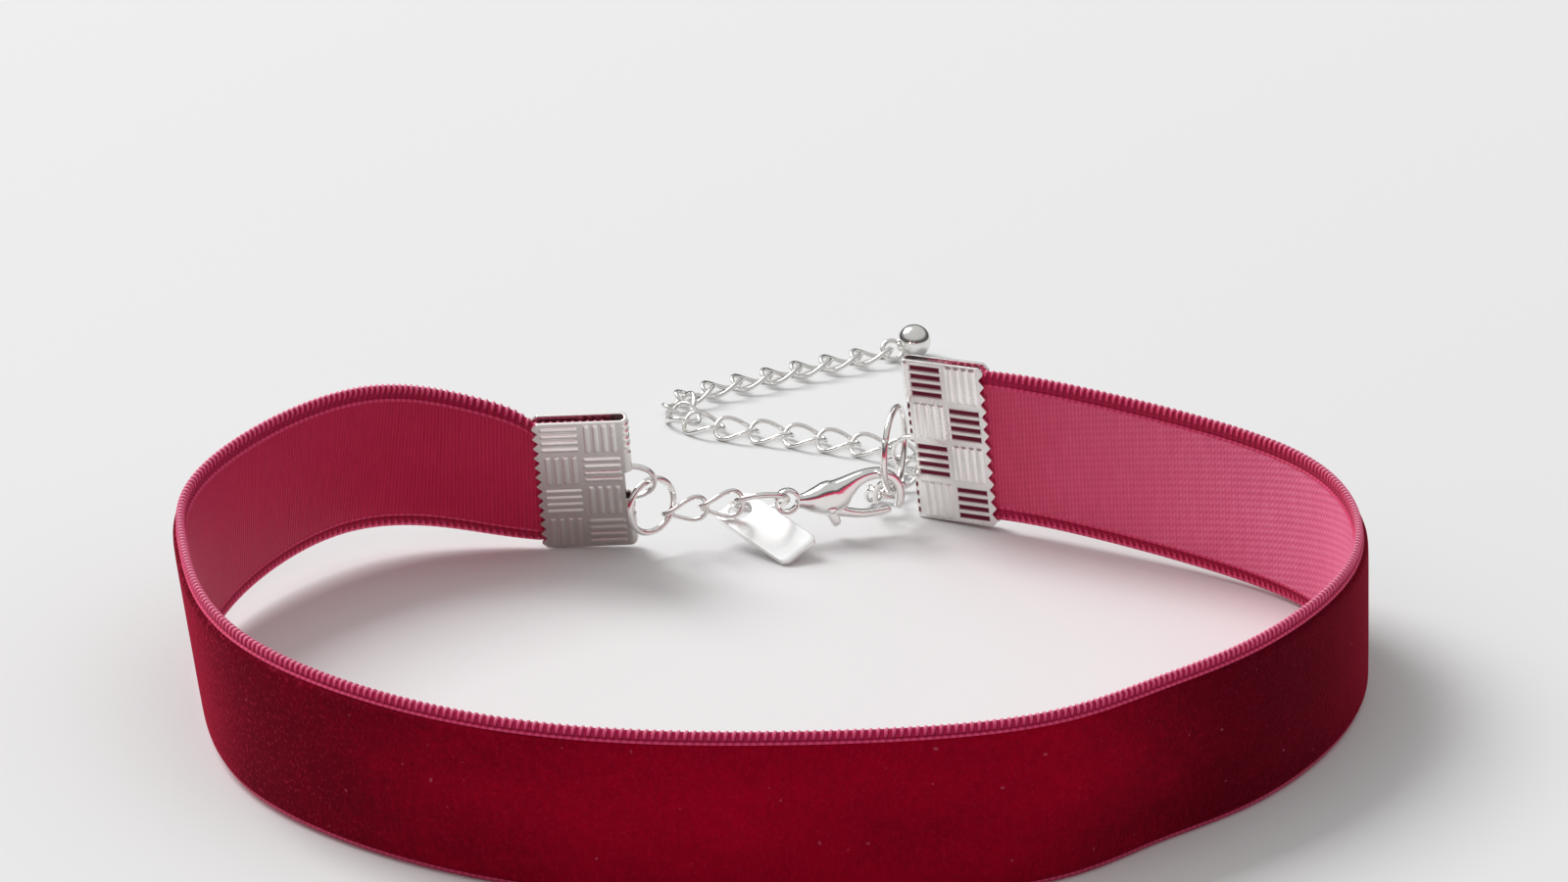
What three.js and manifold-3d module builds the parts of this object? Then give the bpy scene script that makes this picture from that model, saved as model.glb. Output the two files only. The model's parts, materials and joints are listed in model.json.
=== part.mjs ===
// Velvet choker necklace, standing on its lower edge with its clasp closed.
// Millimetres, +Z up, the clasp at the back (+Y), the origin under the middle of the whole piece.
import * as THREE from "three";
import { mergeVertices } from "three/addons/utils/BufferGeometryUtils.js";
import Module from "manifold-3d";

const wasm = await Module();
wasm.setup();

// Ribbon: a pile field on the outside between two flat selvedges, satin on the inside
const LOOP_WIDTH = 110;
const LOOP_DEPTH = 95;
const RIBBON_WIDTH = 16;
const SELVEDGE_HEIGHT = 1.1;
const SELVEDGE_THICKNESS = 1.0;
const PILE_RISE = 0.45;
const PRESSED_THICKNESS = 0.6;
const PRESSED_START = 0.5;
const PRESSED_STRETCH = 4;
const RIBBON_STEPS = 66;
const RIBBON_NUDGE = 1e-3;

// Crimps: one folded sheet each, teeth at the mouth, a strip loop at the fold, stamped bars
const CRIMP_HEIGHT = 17;
const CRIMP_DEPTH = 9.4;
const SHEET = 0.3;
const RIBBON_CLEARANCE = 0.15;
const RIBBON_INSERT = 7.6;
const TOOTH_COUNT = 13;
const TOOTH_LENGTH = 0.8;
const STRIP_WIDTH = 0.6;
const STRIP_THICKNESS = 0.4;
const STRIP_HEIGHT = 4.6;
const STRIP_REACH = 2.4;
const STAMP_ROWS = 4;
const STAMP_COLUMNS = 2;
const STAMP_BARS = 4;
const STAMP_RISE = 0.12;
const BAR_SHARE = 0.58;
const BLOCK_SHARE = 0.88;

// Wire work
const JOINT_GAP = 0.34;
const SOLVE_ROUNDS = 12;
const RING_SIDES = 6;
const RING_STEPS = 16;
const LINK_STEPS = 14;
const LINK_LENGTH = 4.9;
const LINK_WIDTH = 3.6;
const LINK_WIRE = 0.46;
const LINK_TWIST = 0.55;
const LEFT_RING = { across: 6.1, wire: 0.65 };
const RIGHT_RING = { across: 9, wire: 0.65 };
const TAG_RING = { across: 6.1, wire: 0.6 };
const BALL_DIAMETER = 3.5;
const BALL_EYE = { across: 2.6, wire: 0.5 };

// Tag
const TAG_LENGTH = 10.2;
const TAG_WIDTH = 4.5;
const TAG_THICKNESS = 0.6;
const TAG_CORNER = 0.8;
const TAG_HOLE = 2.3;
const TAG_HOLE_INSET = 1.55;

// Lobster clasp: lengths along and across it are shares of its length
const CLASP_LENGTH = 12.9;
const CLASP_BODY_THICKNESS = 2.3;
const HOOK_THICKNESS = 1.3;
const EYE_THICKNESS = 1.0;
const EYE_HOLE = 1.8;
const EYE_WALL = 0.45;
const LEVER_THICKNESS = 0.9;
const SLOT_CLEARANCE = 0.2;
const RIVET_DIAMETER = 0.8;
const RIVET_CLEARANCE = 0.15;
const RIVET_INSET = 0.05;
// How far each plate's edges are cut back
const EDGE = { eye: 0.2, body: 0.35, hook: 0.3, lever: 0.15 };

// How the ribbon runs from the left crimp round the front to the right crimp. across is a share of
// LOOP_WIDTH from the middle, back a share of LOOP_DEPTH from the front, lean the degrees that its
// upper edge tips inwards, lift the share of RIBBON_WIDTH that its lower edge hangs off the table.
const RIBBON_RUN = [
  { across: -0.395, back: 0.95, lean: 12, lift: 0.21 },
  { across: -0.515, back: 0.68, lean: -6, lift: 0.08 },
  { across: -0.49, back: 0.515, lean: -10, lift: 0.05 },
  { across: -0.47, back: 0.25, lean: -4, lift: 0.01 },
  { across: -0.25, back: 0.025, lean: -3, lift: 0 },
  { across: -0.015, back: -0.01, lean: 2, lift: 0 },
  { across: 0.22, back: 0.02, lean: 4, lift: 0 },
  { across: 0.3, back: 0.15, lean: -2, lift: 0 },
  { across: 0.4, back: 0.235, lean: 2, lift: 0 },
  { across: 0.5, back: 0.47, lean: -1, lift: 0 },
  { across: 0.5, back: 0.71, lean: 4, lift: 0 },
  { across: 0.42, back: 0.84, lean: 3, lift: 0.02 },
];
// The stretch in front of each crimp's mouth where the ribbon still runs straight
const LEFT_LEAD = 3.5;
const RIGHT_LEAD = 6.5;

// Crimps: heading is where the fold points, lean tips the top towards the front, dip drops the fold,
// strip is the strip loop's height from the middle, bars what the top block at the mouth holds
const LEFT_CRIMP = { across: -0.22, back: 0.915, heading: 0, lean: 25, dip: -3, strip: -0.4, bars: 0 };
const RIGHT_CRIMP = { heading: 150, lean: 6, dip: 3.5, strip: -2.3, bars: 1 };

// Closure, from the left crimp's strip loop: heading and slope of each piece from joint to joint,
// roll about that line, spread of a ring's two joints seen from its centre
const CLOSURE = {
  left_ring: { heading: 39, slope: -46, roll: 0, spread: 150 },
  small_link_1: { heading: 10, slope: 10, roll: 38 },
  small_link_2: { heading: 12, slope: 6, roll: 30 },
  tag_ring: { heading: 18, slope: -2, roll: 55, spread: 165 },
  clasp: { heading: 14, slope: -2, roll: 0 },
};
// Right ring: heading of its plane, and the places round it of clasp, chain and strip loop
const RIGHT_RING_HEADING = 75;
const RING_PLACES = { clasp: 235, chain: 275, crimp: 328 };
// Where a ring's wire passes each strip loop: past the fold, and off the strip's middle
const LEFT_HOLD = { past: 0.85, rise: -0.6 };
const RIGHT_HOLD = { past: 1.2, rise: -0.4 };
// Tag: where it points from its hole, the roll of its face, and its hole's place round the ring
const TAG_HANG = { heading: -44, roll: 23, place: 227 };

// The extender's route after the right ring: x and y from where it hangs on it, z above the table
const CHAIN_ROUTE = [
  [-1.0, 1.9, 2.6],
  [-1.5, 4.7, 1.25],
  [-0.7, 8.3, 0.95],
  [1.5, 11.7, 0.95],
  [2.3, 15.1, 0.95],
  [0.7, 18.1, 0.95],
  [-2.3, 19.9, 0.95],
  [-6.7, 21.6, 0.95],
  [-11.3, 23.5, 0.95],
  [-15.9, 24.8, 0.95],
  [-19.7, 26.1, 0.95],
  [-21.9, 29.7, 0.95],
  [-21.5, 33.7, 0.95],
  [-18.7, 36.7, 0.95],
  [-15.3, 39.0, 0.95],
  [-12.3, 40.9, 0.95],
  [-8.5, 43.5, 0.95],
  [-4.9, 45.7, 0.95],
  [-1.3, 47.7, 0.95],
  [6.7, 51.5, 0.95],
];
const CHAIN_LINKS = 21;
const CHAIN_ROLL = 80;
const BALL_ROLL = -45;
const HALVINGS = 40;

const COLOURS = {
  velvet: new THREE.MeshStandardMaterial({ color: 0x7a0a22, roughness: 0.9, metalness: 0 }),
  silver: new THREE.MeshStandardMaterial({ color: 0xc9c7c4, roughness: 0.25, metalness: 1 }),
};

const rad = THREE.MathUtils.degToRad;
const vec = (x, y, z) => new THREE.Vector3(x, y, z);
const UP = vec(0, 0, 1);

// A closed geometry as a solid, and a solid as a geometry
function solid(geometry) {
  const bare = geometry.index ? geometry.toNonIndexed() : geometry.clone();
  for (const name of Object.keys(bare.attributes)) {
    if (name !== "position") bare.deleteAttribute(name);
  }
  const merged = mergeVertices(bare, 1e-4);
  return new wasm.Manifold(
    new wasm.Mesh({
      numProp: 3,
      vertProperties: merged.attributes.position.array,
      triVerts: new Uint32Array(merged.index.array),
    }),
  );
}

function geometryOf(body) {
  const mesh = body.getMesh();
  const geometry = new THREE.BufferGeometry();
  geometry.setAttribute("position", new THREE.BufferAttribute(mesh.vertProperties, 3));
  geometry.setIndex(new THREE.BufferAttribute(mesh.triVerts, 1));
  return geometry;
}

// An outline in the local XZ plane made into a plate centred on y = 0, its edges bevelled
function plate(shape, thickness, bevel = 0) {
  const geometry = new THREE.ExtrudeGeometry(shape, {
    depth: thickness - 2 * bevel,
    bevelEnabled: bevel > 0,
    bevelThickness: bevel,
    bevelSize: bevel,
    bevelOffset: -bevel,
    bevelSegments: 1,
    curveSegments: 8,
  });
  geometry.translate(0, 0, bevel - thickness / 2);
  return geometry.rotateX(Math.PI / 2);
}

function box(x0, x1, y0, y1, z0, z1) {
  const geometry = new THREE.BoxGeometry(x1 - x0, y1 - y0, z1 - z0);
  return geometry.translate((x0 + x1) / 2, (y0 + y1) / 2, (z0 + z1) / 2);
}

// A pin along local Y
function pin(x, z, diameter, length, sides = 12) {
  const geometry = new THREE.CylinderGeometry(diameter / 2, diameter / 2, length, sides);
  return geometry.translate(x, 0, z);
}

// Directions: heading turns about +Z from +X, slope rises from the level
function direction(heading, slope = 0) {
  const level = Math.cos(rad(slope));
  return vec(level * Math.cos(rad(heading)), level * Math.sin(rad(heading)), Math.sin(rad(slope)));
}

// A frame whose local X runs along a direction and whose local Z is as near to side as it can be
function frame(origin, along, side) {
  const x = along.clone().normalize();
  const z = side.clone().addScaledVector(x, -side.dot(x)).normalize();
  const y = z.clone().cross(x);
  return new THREE.Matrix4().makeBasis(x, y, z).setPosition(origin);
}

// A frame along a direction, rolled about it from upright
function rolledFrame(origin, along, roll) {
  const side = UP.clone().applyAxisAngle(along.clone().normalize(), rad(roll));
  return frame(origin, along, side);
}

const at = (matrix, x, y, z) => vec(x, y, z).applyMatrix4(matrix);

// A direction tipped towards another one by some degrees
function tipped(from, towards, degrees) {
  return from.clone().multiplyScalar(Math.cos(rad(degrees))).addScaledVector(towards, Math.sin(rad(degrees)));
}

// Ribbon

// Weights of a uniform cubic B-spline's four rows round place f between the middle two
function splineWeights(f) {
  const g = 1 - f;
  return [g ** 3 / 6, (3 * f ** 3 - 6 * f ** 2 + 4) / 6, (3 * g ** 3 - 6 * g ** 2 + 4) / 6, f ** 3 / 6];
}

// Rows of x, y, z, lean read at u from 0 to 1; the curve starts and ends on the outer rows
function readRun(rows, u) {
  const last = rows.length - 1;
  const place = Math.min(Math.max(u * last, 0), last - 1e-9);
  const i = Math.floor(place);
  const row = (k) => {
    if (k < 0) return rows[0].map((value, c) => 2 * value - rows[1][c]);
    if (k > last) return rows[last].map((value, c) => 2 * value - rows[last - 1][c]);
    return rows[k];
  };
  const weights = splineWeights(place - i);
  return rows[0].map((_, c) => weights.reduce((sum, w, k) => sum + w * row(i - 1 + k)[c], 0));
}

// The section: n points inwards, z from the lower edge; pressed 0 is open, 1 is inside a crimp
function ribbonSection(pressed) {
  const flat = SELVEDGE_THICKNESS / 2;
  const step = PILE_RISE;
  const full = [
    [flat, 0],
    [flat, RIBBON_WIDTH],
    [-flat, RIBBON_WIDTH],
    [-flat, RIBBON_WIDTH - SELVEDGE_HEIGHT],
    [-flat - step, RIBBON_WIDTH - SELVEDGE_HEIGHT - step],
    [-flat - step, SELVEDGE_HEIGHT + step],
    [-flat, SELVEDGE_HEIGHT],
    [-flat, 0],
  ];
  return full.map(([n, z]) => {
    const thin = (Math.sign(n) * PRESSED_THICKNESS) / 2;
    return [THREE.MathUtils.lerp(n, thin, pressed), z];
  });
}

// Rings of points joined into one closed skin, the ends closed with fans
function loft(rings) {
  const count = rings[0].length;
  const positions = rings.flat().flatMap((p) => [p.x, p.y, p.z]);
  const index = [];
  for (let i = 0; i + 1 < rings.length; i++) {
    for (let k = 0; k < count; k++) {
      const a = i * count + k;
      const b = i * count + ((k + 1) % count);
      index.push(a, b, a + count, b, b + count, a + count);
    }
  }
  const end = (rings.length - 1) * count;
  const outline = ribbonSection(1).map(([n, z]) => new THREE.Vector2(n, z));
  for (const [a, b, c] of THREE.ShapeUtils.triangulateShape(outline, [])) {
    index.push(a, c, b, end + a, end + b, end + c);
  }
  const geometry = new THREE.BufferGeometry();
  geometry.setAttribute("position", new THREE.Float32BufferAttribute(positions, 3));
  geometry.setIndex(index);
  return geometry;
}

function makeRibbon(leftCrimp, rightCrimp) {
  const middle = RIBBON_WIDTH / 2;
  const ends = [leftCrimp, rightCrimp].map((crimp) => {
    const along = vec(0, 0, 0).setFromMatrixColumn(crimp.matrix, 0);
    const inward = along.clone().cross(UP).normalize().multiplyScalar(crimp.turn);
    const up = tipped(UP, inward, crimp.lean);
    const mouth = at(crimp.matrix, 0, 0, 0).addScaledVector(up, -middle);
    return { along, lean: crimp.lean, mouth };
  });
  const row = (p, lean) => [p.x, p.y, p.z, lean];
  const [left, right] = ends;
  const rows = [
    row(left.mouth, left.lean),
    row(left.mouth.clone().addScaledVector(left.along, -LEFT_LEAD), left.lean),
    ...RIBBON_RUN.map((r) => [
      r.across * LOOP_WIDTH,
      r.back * LOOP_DEPTH,
      r.lift * RIBBON_WIDTH,
      r.lean,
    ]),
    row(right.mouth.clone().addScaledVector(right.along, -RIGHT_LEAD), right.lean),
    row(right.mouth, right.lean),
  ];

  // Stations: x, y, z of the lower edge, the lean and how far the pile is pressed flat
  const stations = [];
  for (let i = 0; i <= RIBBON_STEPS; i++) {
    const u = i / RIBBON_STEPS;
    const [x, y, z, lean] = readRun(rows, u);
    const ahead = readRun(rows, u + RIBBON_NUDGE);
    const behind = readRun(rows, u - RIBBON_NUDGE);
    const travel = vec(ahead[0] - behind[0], ahead[1] - behind[1], 0).normalize();
    stations.push({ p: vec(x, y, z), lean, travel });
  }
  const first = stations[0];
  const last = stations[RIBBON_STEPS];
  const start = first.p.clone().addScaledVector(left.along, RIBBON_INSERT);
  const finish = last.p.clone().addScaledVector(right.along, RIBBON_INSERT);
  stations.unshift({ ...first, p: start });
  stations.push({ ...last, p: finish });

  const rings = stations.map(({ p, lean, travel }) => {
    const inward = UP.clone().cross(travel);
    const up = tipped(UP, inward, lean);
    const across = tipped(inward, UP, -lean);
    const fromMouth = Math.min(p.distanceTo(first.p), p.distanceTo(last.p));
    const inside = p === start || p === finish;
    const pressed = inside ? 1 : 1 - THREE.MathUtils.smoothstep(fromMouth, PRESSED_START, PRESSED_STRETCH);
    return ribbonSection(pressed).map(([n, z]) =>
      p.clone().addScaledVector(z === 0 ? inward : across, n).addScaledVector(up, z),
    );
  });
  return loft(rings);
}

// Crimps, local frame: x from the mouth to the fold, z up, y through the sheets

const CRIMP_THICKNESS = PRESSED_THICKNESS + 2 * (RIBBON_CLEARANCE + SHEET);
const FOLD_RADIUS = CRIMP_THICKNESS / 2;

// The bent sheet seen from above
function sheetSection() {
  const shape = new THREE.Shape();
  const bend = CRIMP_DEPTH - FOLD_RADIUS;
  shape.moveTo(0, -FOLD_RADIUS);
  shape.lineTo(bend, -FOLD_RADIUS);
  shape.absarc(bend, 0, FOLD_RADIUS, -Math.PI / 2, Math.PI / 2, false);
  shape.lineTo(0, FOLD_RADIUS);
  shape.lineTo(0, FOLD_RADIUS - SHEET);
  shape.lineTo(bend, FOLD_RADIUS - SHEET);
  shape.absarc(bend, 0, FOLD_RADIUS - SHEET, Math.PI / 2, -Math.PI / 2, true);
  shape.lineTo(0, -FOLD_RADIUS + SHEET);
  return shape;
}

// What the teeth leave free at the mouth
function toothCutter() {
  const pitch = CRIMP_HEIGHT / TOOTH_COUNT;
  const shape = new THREE.Shape();
  shape.moveTo(-TOOTH_LENGTH, -CRIMP_HEIGHT);
  shape.lineTo(-TOOTH_LENGTH, CRIMP_HEIGHT);
  shape.lineTo(TOOTH_LENGTH, CRIMP_HEIGHT);
  shape.lineTo(TOOTH_LENGTH, CRIMP_HEIGHT / 2);
  for (let i = 0; i < TOOTH_COUNT; i++) {
    shape.lineTo(0, CRIMP_HEIGHT / 2 - (i + 0.5) * pitch);
    shape.lineTo(TOOTH_LENGTH, CRIMP_HEIGHT / 2 - (i + 1) * pitch);
  }
  shape.lineTo(TOOTH_LENGTH, -CRIMP_HEIGHT);
  return plate(shape, 2 * CRIMP_THICKNESS);
}

// The strip left standing out of the fold as half an oval, with a wire's hole through it
function stripLoop(middle) {
  const shape = new THREE.Shape();
  const root = CRIMP_DEPTH - SHEET;
  const reach = CRIMP_DEPTH + STRIP_REACH - root;
  const half = STRIP_HEIGHT / 2;
  shape.moveTo(root, middle - half);
  shape.absellipse(root, middle, reach, half, -Math.PI / 2, Math.PI / 2, false);
  shape.lineTo(root, middle + half - STRIP_THICKNESS);
  shape.absellipse(
    root,
    middle,
    reach - STRIP_THICKNESS,
    half - STRIP_THICKNESS,
    Math.PI / 2,
    -Math.PI / 2,
    true,
  );
  return plate(shape, STRIP_WIDTH);
}

// Raised bars in blocks, upright and level in turn; first says which the top corner block holds
function stampedBars(first) {
  const bars = [];
  const rowPitch = CRIMP_HEIGHT / STAMP_ROWS;
  const columnPitch = (CRIMP_DEPTH - FOLD_RADIUS - TOOTH_LENGTH) / STAMP_COLUMNS;
  const width = columnPitch * BLOCK_SHARE;
  const height = rowPitch * BLOCK_SHARE;
  for (let c = 0; c < STAMP_COLUMNS; c++) {
    for (let r = 0; r < STAMP_ROWS; r++) {
      const x = TOOTH_LENGTH + (c + 0.5) * columnPitch;
      const z = CRIMP_HEIGHT / 2 - (r + 0.5) * rowPitch;
      const level = (r + c + first) % 2 === 0;
      const pitch = (level ? height : width) / STAMP_BARS;
      const half = (pitch * BAR_SHARE) / 2;
      for (let i = 0; i < STAMP_BARS; i++) {
        const off = (i - (STAMP_BARS - 1) / 2) * pitch;
        const span = level
          ? [x - width / 2, x + width / 2, z + off - half, z + off + half]
          : [x + off - half, x + off + half, z - height / 2, z + height / 2];
        const outer = FOLD_RADIUS + STAMP_RISE;
        const inner = FOLD_RADIUS - SHEET / 2;
        bars.push(box(span[0], span[1], inner, outer, span[2], span[3]));
        bars.push(box(span[0], span[1], -outer, -inner, span[2], span[3]));
      }
    }
  }
  return bars;
}

function makeCrimp({ bars, strip }) {
  const sheet = new THREE.ExtrudeGeometry(sheetSection(), {
    depth: CRIMP_HEIGHT,
    bevelEnabled: false,
    curveSegments: 8,
  });
  sheet.translate(0, 0, -CRIMP_HEIGHT / 2);
  const notch = STRIP_HEIGHT / 2 - STRIP_THICKNESS;
  const [low, high] = [strip - notch, strip + notch];
  let body = solid(sheet).subtract(solid(toothCutter()));
  const beyond = CRIMP_DEPTH + SHEET;
  body = body.subtract(
    solid(box(CRIMP_DEPTH - FOLD_RADIUS, beyond, -CRIMP_THICKNESS, CRIMP_THICKNESS, low, high)),
  );
  body = body.add(solid(stripLoop(strip)));
  for (const bar of stampedBars(bars)) body = body.add(solid(bar));
  return geometryOf(body);
}

// A crimp's frame: its fold points along heading, dips, and its top leans towards the front
function crimpFrame(origin, { heading, lean, dip }) {
  const level = direction(heading);
  const side = level.clone().cross(UP);
  const toFront = side.y > 0 ? side.clone().negate() : side;
  const up = tipped(UP, toFront, lean);
  const along = tipped(level, up, -dip);
  return frame(origin, along, up);
}

// Lowest of the crimp's four corners, seen from its origin at the middle of the mouth
function crimpDrop(matrix) {
  const half = CRIMP_HEIGHT / 2;
  const thick = FOLD_RADIUS + STAMP_RISE;
  const corners = [0, CRIMP_DEPTH].flatMap((x) => [-thick, thick].map((y) => at(matrix, x, y, -half).z));
  return Math.min(...corners);
}

// Wire pieces, local frame: x from joint to joint, the ring or link lies in the XZ plane

function ringGeometry({ across, wire }) {
  const radius = (across - wire) / 2;
  return new THREE.TorusGeometry(radius, wire / 2, RING_SIDES, RING_STEPS).rotateX(Math.PI / 2);
}

class TwistedOval extends THREE.Curve {
  getPoint(t, target = vec(0, 0, 0)) {
    const angle = 2 * Math.PI * t;
    const a = (LINK_LENGTH - LINK_WIRE) / 2;
    const b = (LINK_WIDTH - LINK_WIRE) / 2;
    return target.set(a * Math.cos(angle), LINK_TWIST * Math.sin(2 * angle), b * Math.sin(angle));
  }
}

const linkGeometry = () =>
  new THREE.TubeGeometry(new TwistedOval(), LINK_STEPS, LINK_WIRE / 2, RING_SIDES, true);

// From a ring's centre to the middle of a joint
const ringArm = ({ across, wire }) => across / 2 - wire - JOINT_GAP / 2;
const LINK_REACH = LINK_LENGTH - 2 * LINK_WIRE - JOINT_GAP;

// Tag, local frame: x from the hole along it, z across it
function makeTag() {
  const x0 = -TAG_HOLE_INSET;
  const x1 = TAG_LENGTH - TAG_HOLE_INSET;
  const half = TAG_WIDTH / 2;
  const c = TAG_CORNER;
  const shape = new THREE.Shape();
  shape.moveTo(x0 + c, -half);
  shape.lineTo(x1 - c, -half);
  shape.absarc(x1 - c, -half + c, c, -Math.PI / 2, 0, false);
  shape.lineTo(x1, half - c);
  shape.absarc(x1 - c, half - c, c, 0, Math.PI / 2, false);
  shape.lineTo(x0 + c, half);
  shape.absarc(x0 + c, half - c, c, Math.PI / 2, Math.PI, false);
  shape.lineTo(x0, -half + c);
  shape.absarc(x0 + c, -half + c, c, Math.PI, 1.5 * Math.PI, false);
  const hole = new THREE.Path();
  hole.absarc(0, 0, TAG_HOLE / 2, 0, 2 * Math.PI, true);
  shape.holes.push(hole);
  return plate(shape, TAG_THICKNESS);
}

// Lobster clasp, local frame: x from the eye's middle to the nose, z towards the hook

const share = (rows) => rows.map(([x, z, w]) => [x * CLASP_LENGTH, z * CLASP_LENGTH, w * CLASP_LENGTH]);

// Centre line and width of the body, the hook and the lever, as shares of CLASP_LENGTH
const BODY_LINE = share([
  [0.02, 0, 0.09],
  [0.12, 0, 0.12],
  [0.22, 0.0, 0.19],
  [0.34, 0.02, 0.24],
  [0.44, 0.08, 0.18],
]);
const HOOK_LINE = share([
  [0.36, 0.06, 0.14],
  [0.46, 0.15, 0.12],
  [0.58, 0.21, 0.095],
  [0.7, 0.23, 0.08],
  [0.81, 0.2, 0.078],
  [0.875, 0.115, 0.075],
  [0.885, 0.02, 0.07],
  [0.86, -0.05, 0.055],
]);
const PIVOT = { x: 0.34 * CLASP_LENGTH, z: -0.045 * CLASP_LENGTH };
const GATE_LINE = share([
  [0, 0, 0.12],
  [0.12, -0.04, 0.08],
  [0.26, -0.055, 0.065],
  [0.4, -0.035, 0.06],
  [0.485, -0.012, 0.05],
]);
const TAB_LINE = share([
  [0, 0, 0.12],
  [0.035, -0.08, 0.09],
  [0.075, -0.155, 0.07],
]);
const LEVER_BOSS = 0.15 * CLASP_LENGTH;

// An outline that follows a centre line with a width at each row
function band(rows, steps) {
  const curve = new THREE.CatmullRomCurve3(rows.map(([x, z, w]) => vec(x, z, w)), false, "centripetal");
  const left = [];
  const right = [];
  for (let i = 0; i <= steps; i++) {
    const p = curve.getPoint(i / steps);
    const t = curve.getTangent(i / steps);
    const side = new THREE.Vector2(-t.y, t.x).normalize().multiplyScalar(p.z / 2);
    left.push(new THREE.Vector2(p.x + side.x, p.y + side.y));
    right.unshift(new THREE.Vector2(p.x - side.x, p.y - side.y));
  }
  return new THREE.Shape([...left, ...right]);
}

function makeClaspBody() {
  const eye = new THREE.Shape();
  eye.absarc(0, 0, EYE_HOLE / 2 + EYE_WALL, 0, 2 * Math.PI, false);
  const slot = LEVER_THICKNESS / 2 + SLOT_CLEARANCE;
  const roof = PIVOT.z + LEVER_BOSS / 2 + SLOT_CLEARANCE;
  const slotStart = PIVOT.x - LEVER_BOSS / 2 - SLOT_CLEARANCE;
  let body = solid(plate(eye, EYE_THICKNESS, EDGE.eye));
  body = body.add(solid(plate(band(BODY_LINE, 10), CLASP_BODY_THICKNESS, EDGE.body)));
  body = body.add(solid(plate(band(HOOK_LINE, 22), HOOK_THICKNESS, EDGE.hook)));
  body = body.subtract(solid(pin(0, 0, EYE_HOLE, 2 * CLASP_BODY_THICKNESS)));
  body = body.subtract(
    solid(box(slotStart, CLASP_LENGTH * 0.6, -slot, slot, -CLASP_LENGTH / 2, roof)),
  );
  const rivet = pin(PIVOT.x, PIVOT.z, RIVET_DIAMETER, CLASP_BODY_THICKNESS - 2 * RIVET_INSET);
  return geometryOf(body.add(solid(rivet)));
}

// The lever's frame has its origin on the rivet
function makeLever() {
  let lever = solid(plate(band(GATE_LINE, 12), LEVER_THICKNESS, EDGE.lever));
  lever = lever.add(solid(plate(band(TAB_LINE, 6), LEVER_THICKNESS, EDGE.lever)));
  lever = lever.add(solid(pin(0, 0, LEVER_BOSS, LEVER_THICKNESS, 16)));
  const bore = RIVET_DIAMETER + 2 * RIVET_CLEARANCE;
  return geometryOf(lever.subtract(solid(pin(0, 0, bore, 2 * LEVER_THICKNESS, 16))));
}

// Where the tag ring's wire passes the eye and the right ring's wire the hook, in the clasp's frame
const EYE_JOINT = vec(-(TAG_RING.wire + JOINT_GAP) / 2, 0, 0);
const HOOK_JOINT = vec(0.793 * CLASP_LENGTH, 0, 0.13 * CLASP_LENGTH);

// Extender's ball with its wire eye, local frame: x from the eye's joint to the ball
const BALL_CENTRE = ringArm(BALL_EYE) + BALL_EYE.across / 2 + BALL_DIAMETER / 2 - BALL_EYE.wire;

function makeEndBall() {
  const eye = ringGeometry(BALL_EYE).translate(ringArm(BALL_EYE), 0, 0);
  const ball = new THREE.SphereGeometry(BALL_DIAMETER / 2, 14, 10).translate(BALL_CENTRE, 0, 0);
  return geometryOf(solid(eye).add(solid(ball)));
}

// Laying the closure

const choker = new THREE.Group();

function place(name, geometry, material, matrix) {
  const mesh = new THREE.Mesh(geometry, material);
  mesh.name = name;
  matrix.decompose(mesh.position, mesh.quaternion, mesh.scale);
  choker.add(mesh);
  return mesh;
}

// A ring's frame from its two joints; its centre lies off their line where spread is under 180
function ringFrame(from, to, roll, spread, ring) {
  const chord = to.clone().sub(from);
  const matrix = rolledFrame(from.clone().add(to).multiplyScalar(0.5), chord, roll);
  const off = ringArm(ring) * Math.cos(rad(spread / 2));
  return matrix.clone().setPosition(at(matrix, 0, 0, -off));
}

const ringReach = (ring, spread) => 2 * ringArm(ring) * Math.sin(rad(spread / 2));

const leftOrigin = vec(LEFT_CRIMP.across * LOOP_WIDTH, LEFT_CRIMP.back * LOOP_DEPTH, 0);
const leftMatrix = crimpFrame(leftOrigin, LEFT_CRIMP);
leftMatrix.setPosition(leftOrigin.setZ(-crimpDrop(leftMatrix)));

const claspVector = HOOK_JOINT.clone().sub(EYE_JOINT);
const claspRise = THREE.MathUtils.radToDeg(Math.atan2(claspVector.z, claspVector.x));

const REACHES = {
  left_ring: ringReach(LEFT_RING, CLOSURE.left_ring.spread),
  small_link_1: LINK_REACH,
  small_link_2: LINK_REACH,
  tag_ring: ringReach(TAG_RING, CLOSURE.tag_ring.spread),
  clasp: claspVector.length(),
};

const stripHold = (matrix, { past, rise }, { strip }) =>
  at(matrix, CRIMP_DEPTH + past, 0, strip + rise);
const wireRadius = ({ across, wire }) => (across - wire) / 2;

// The left ring's first joint: inside its wire, which passes the left strip loop
function leftJoint() {
  const { heading, slope, spread } = CLOSURE.left_ring;
  const toCentre = direction(heading, slope - 90 + spread / 2);
  const inward = wireRadius(LEFT_RING) - ringArm(LEFT_RING);
  return stripHold(leftMatrix, LEFT_HOLD, LEFT_CRIMP).addScaledVector(toCentre, inward);
}

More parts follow.
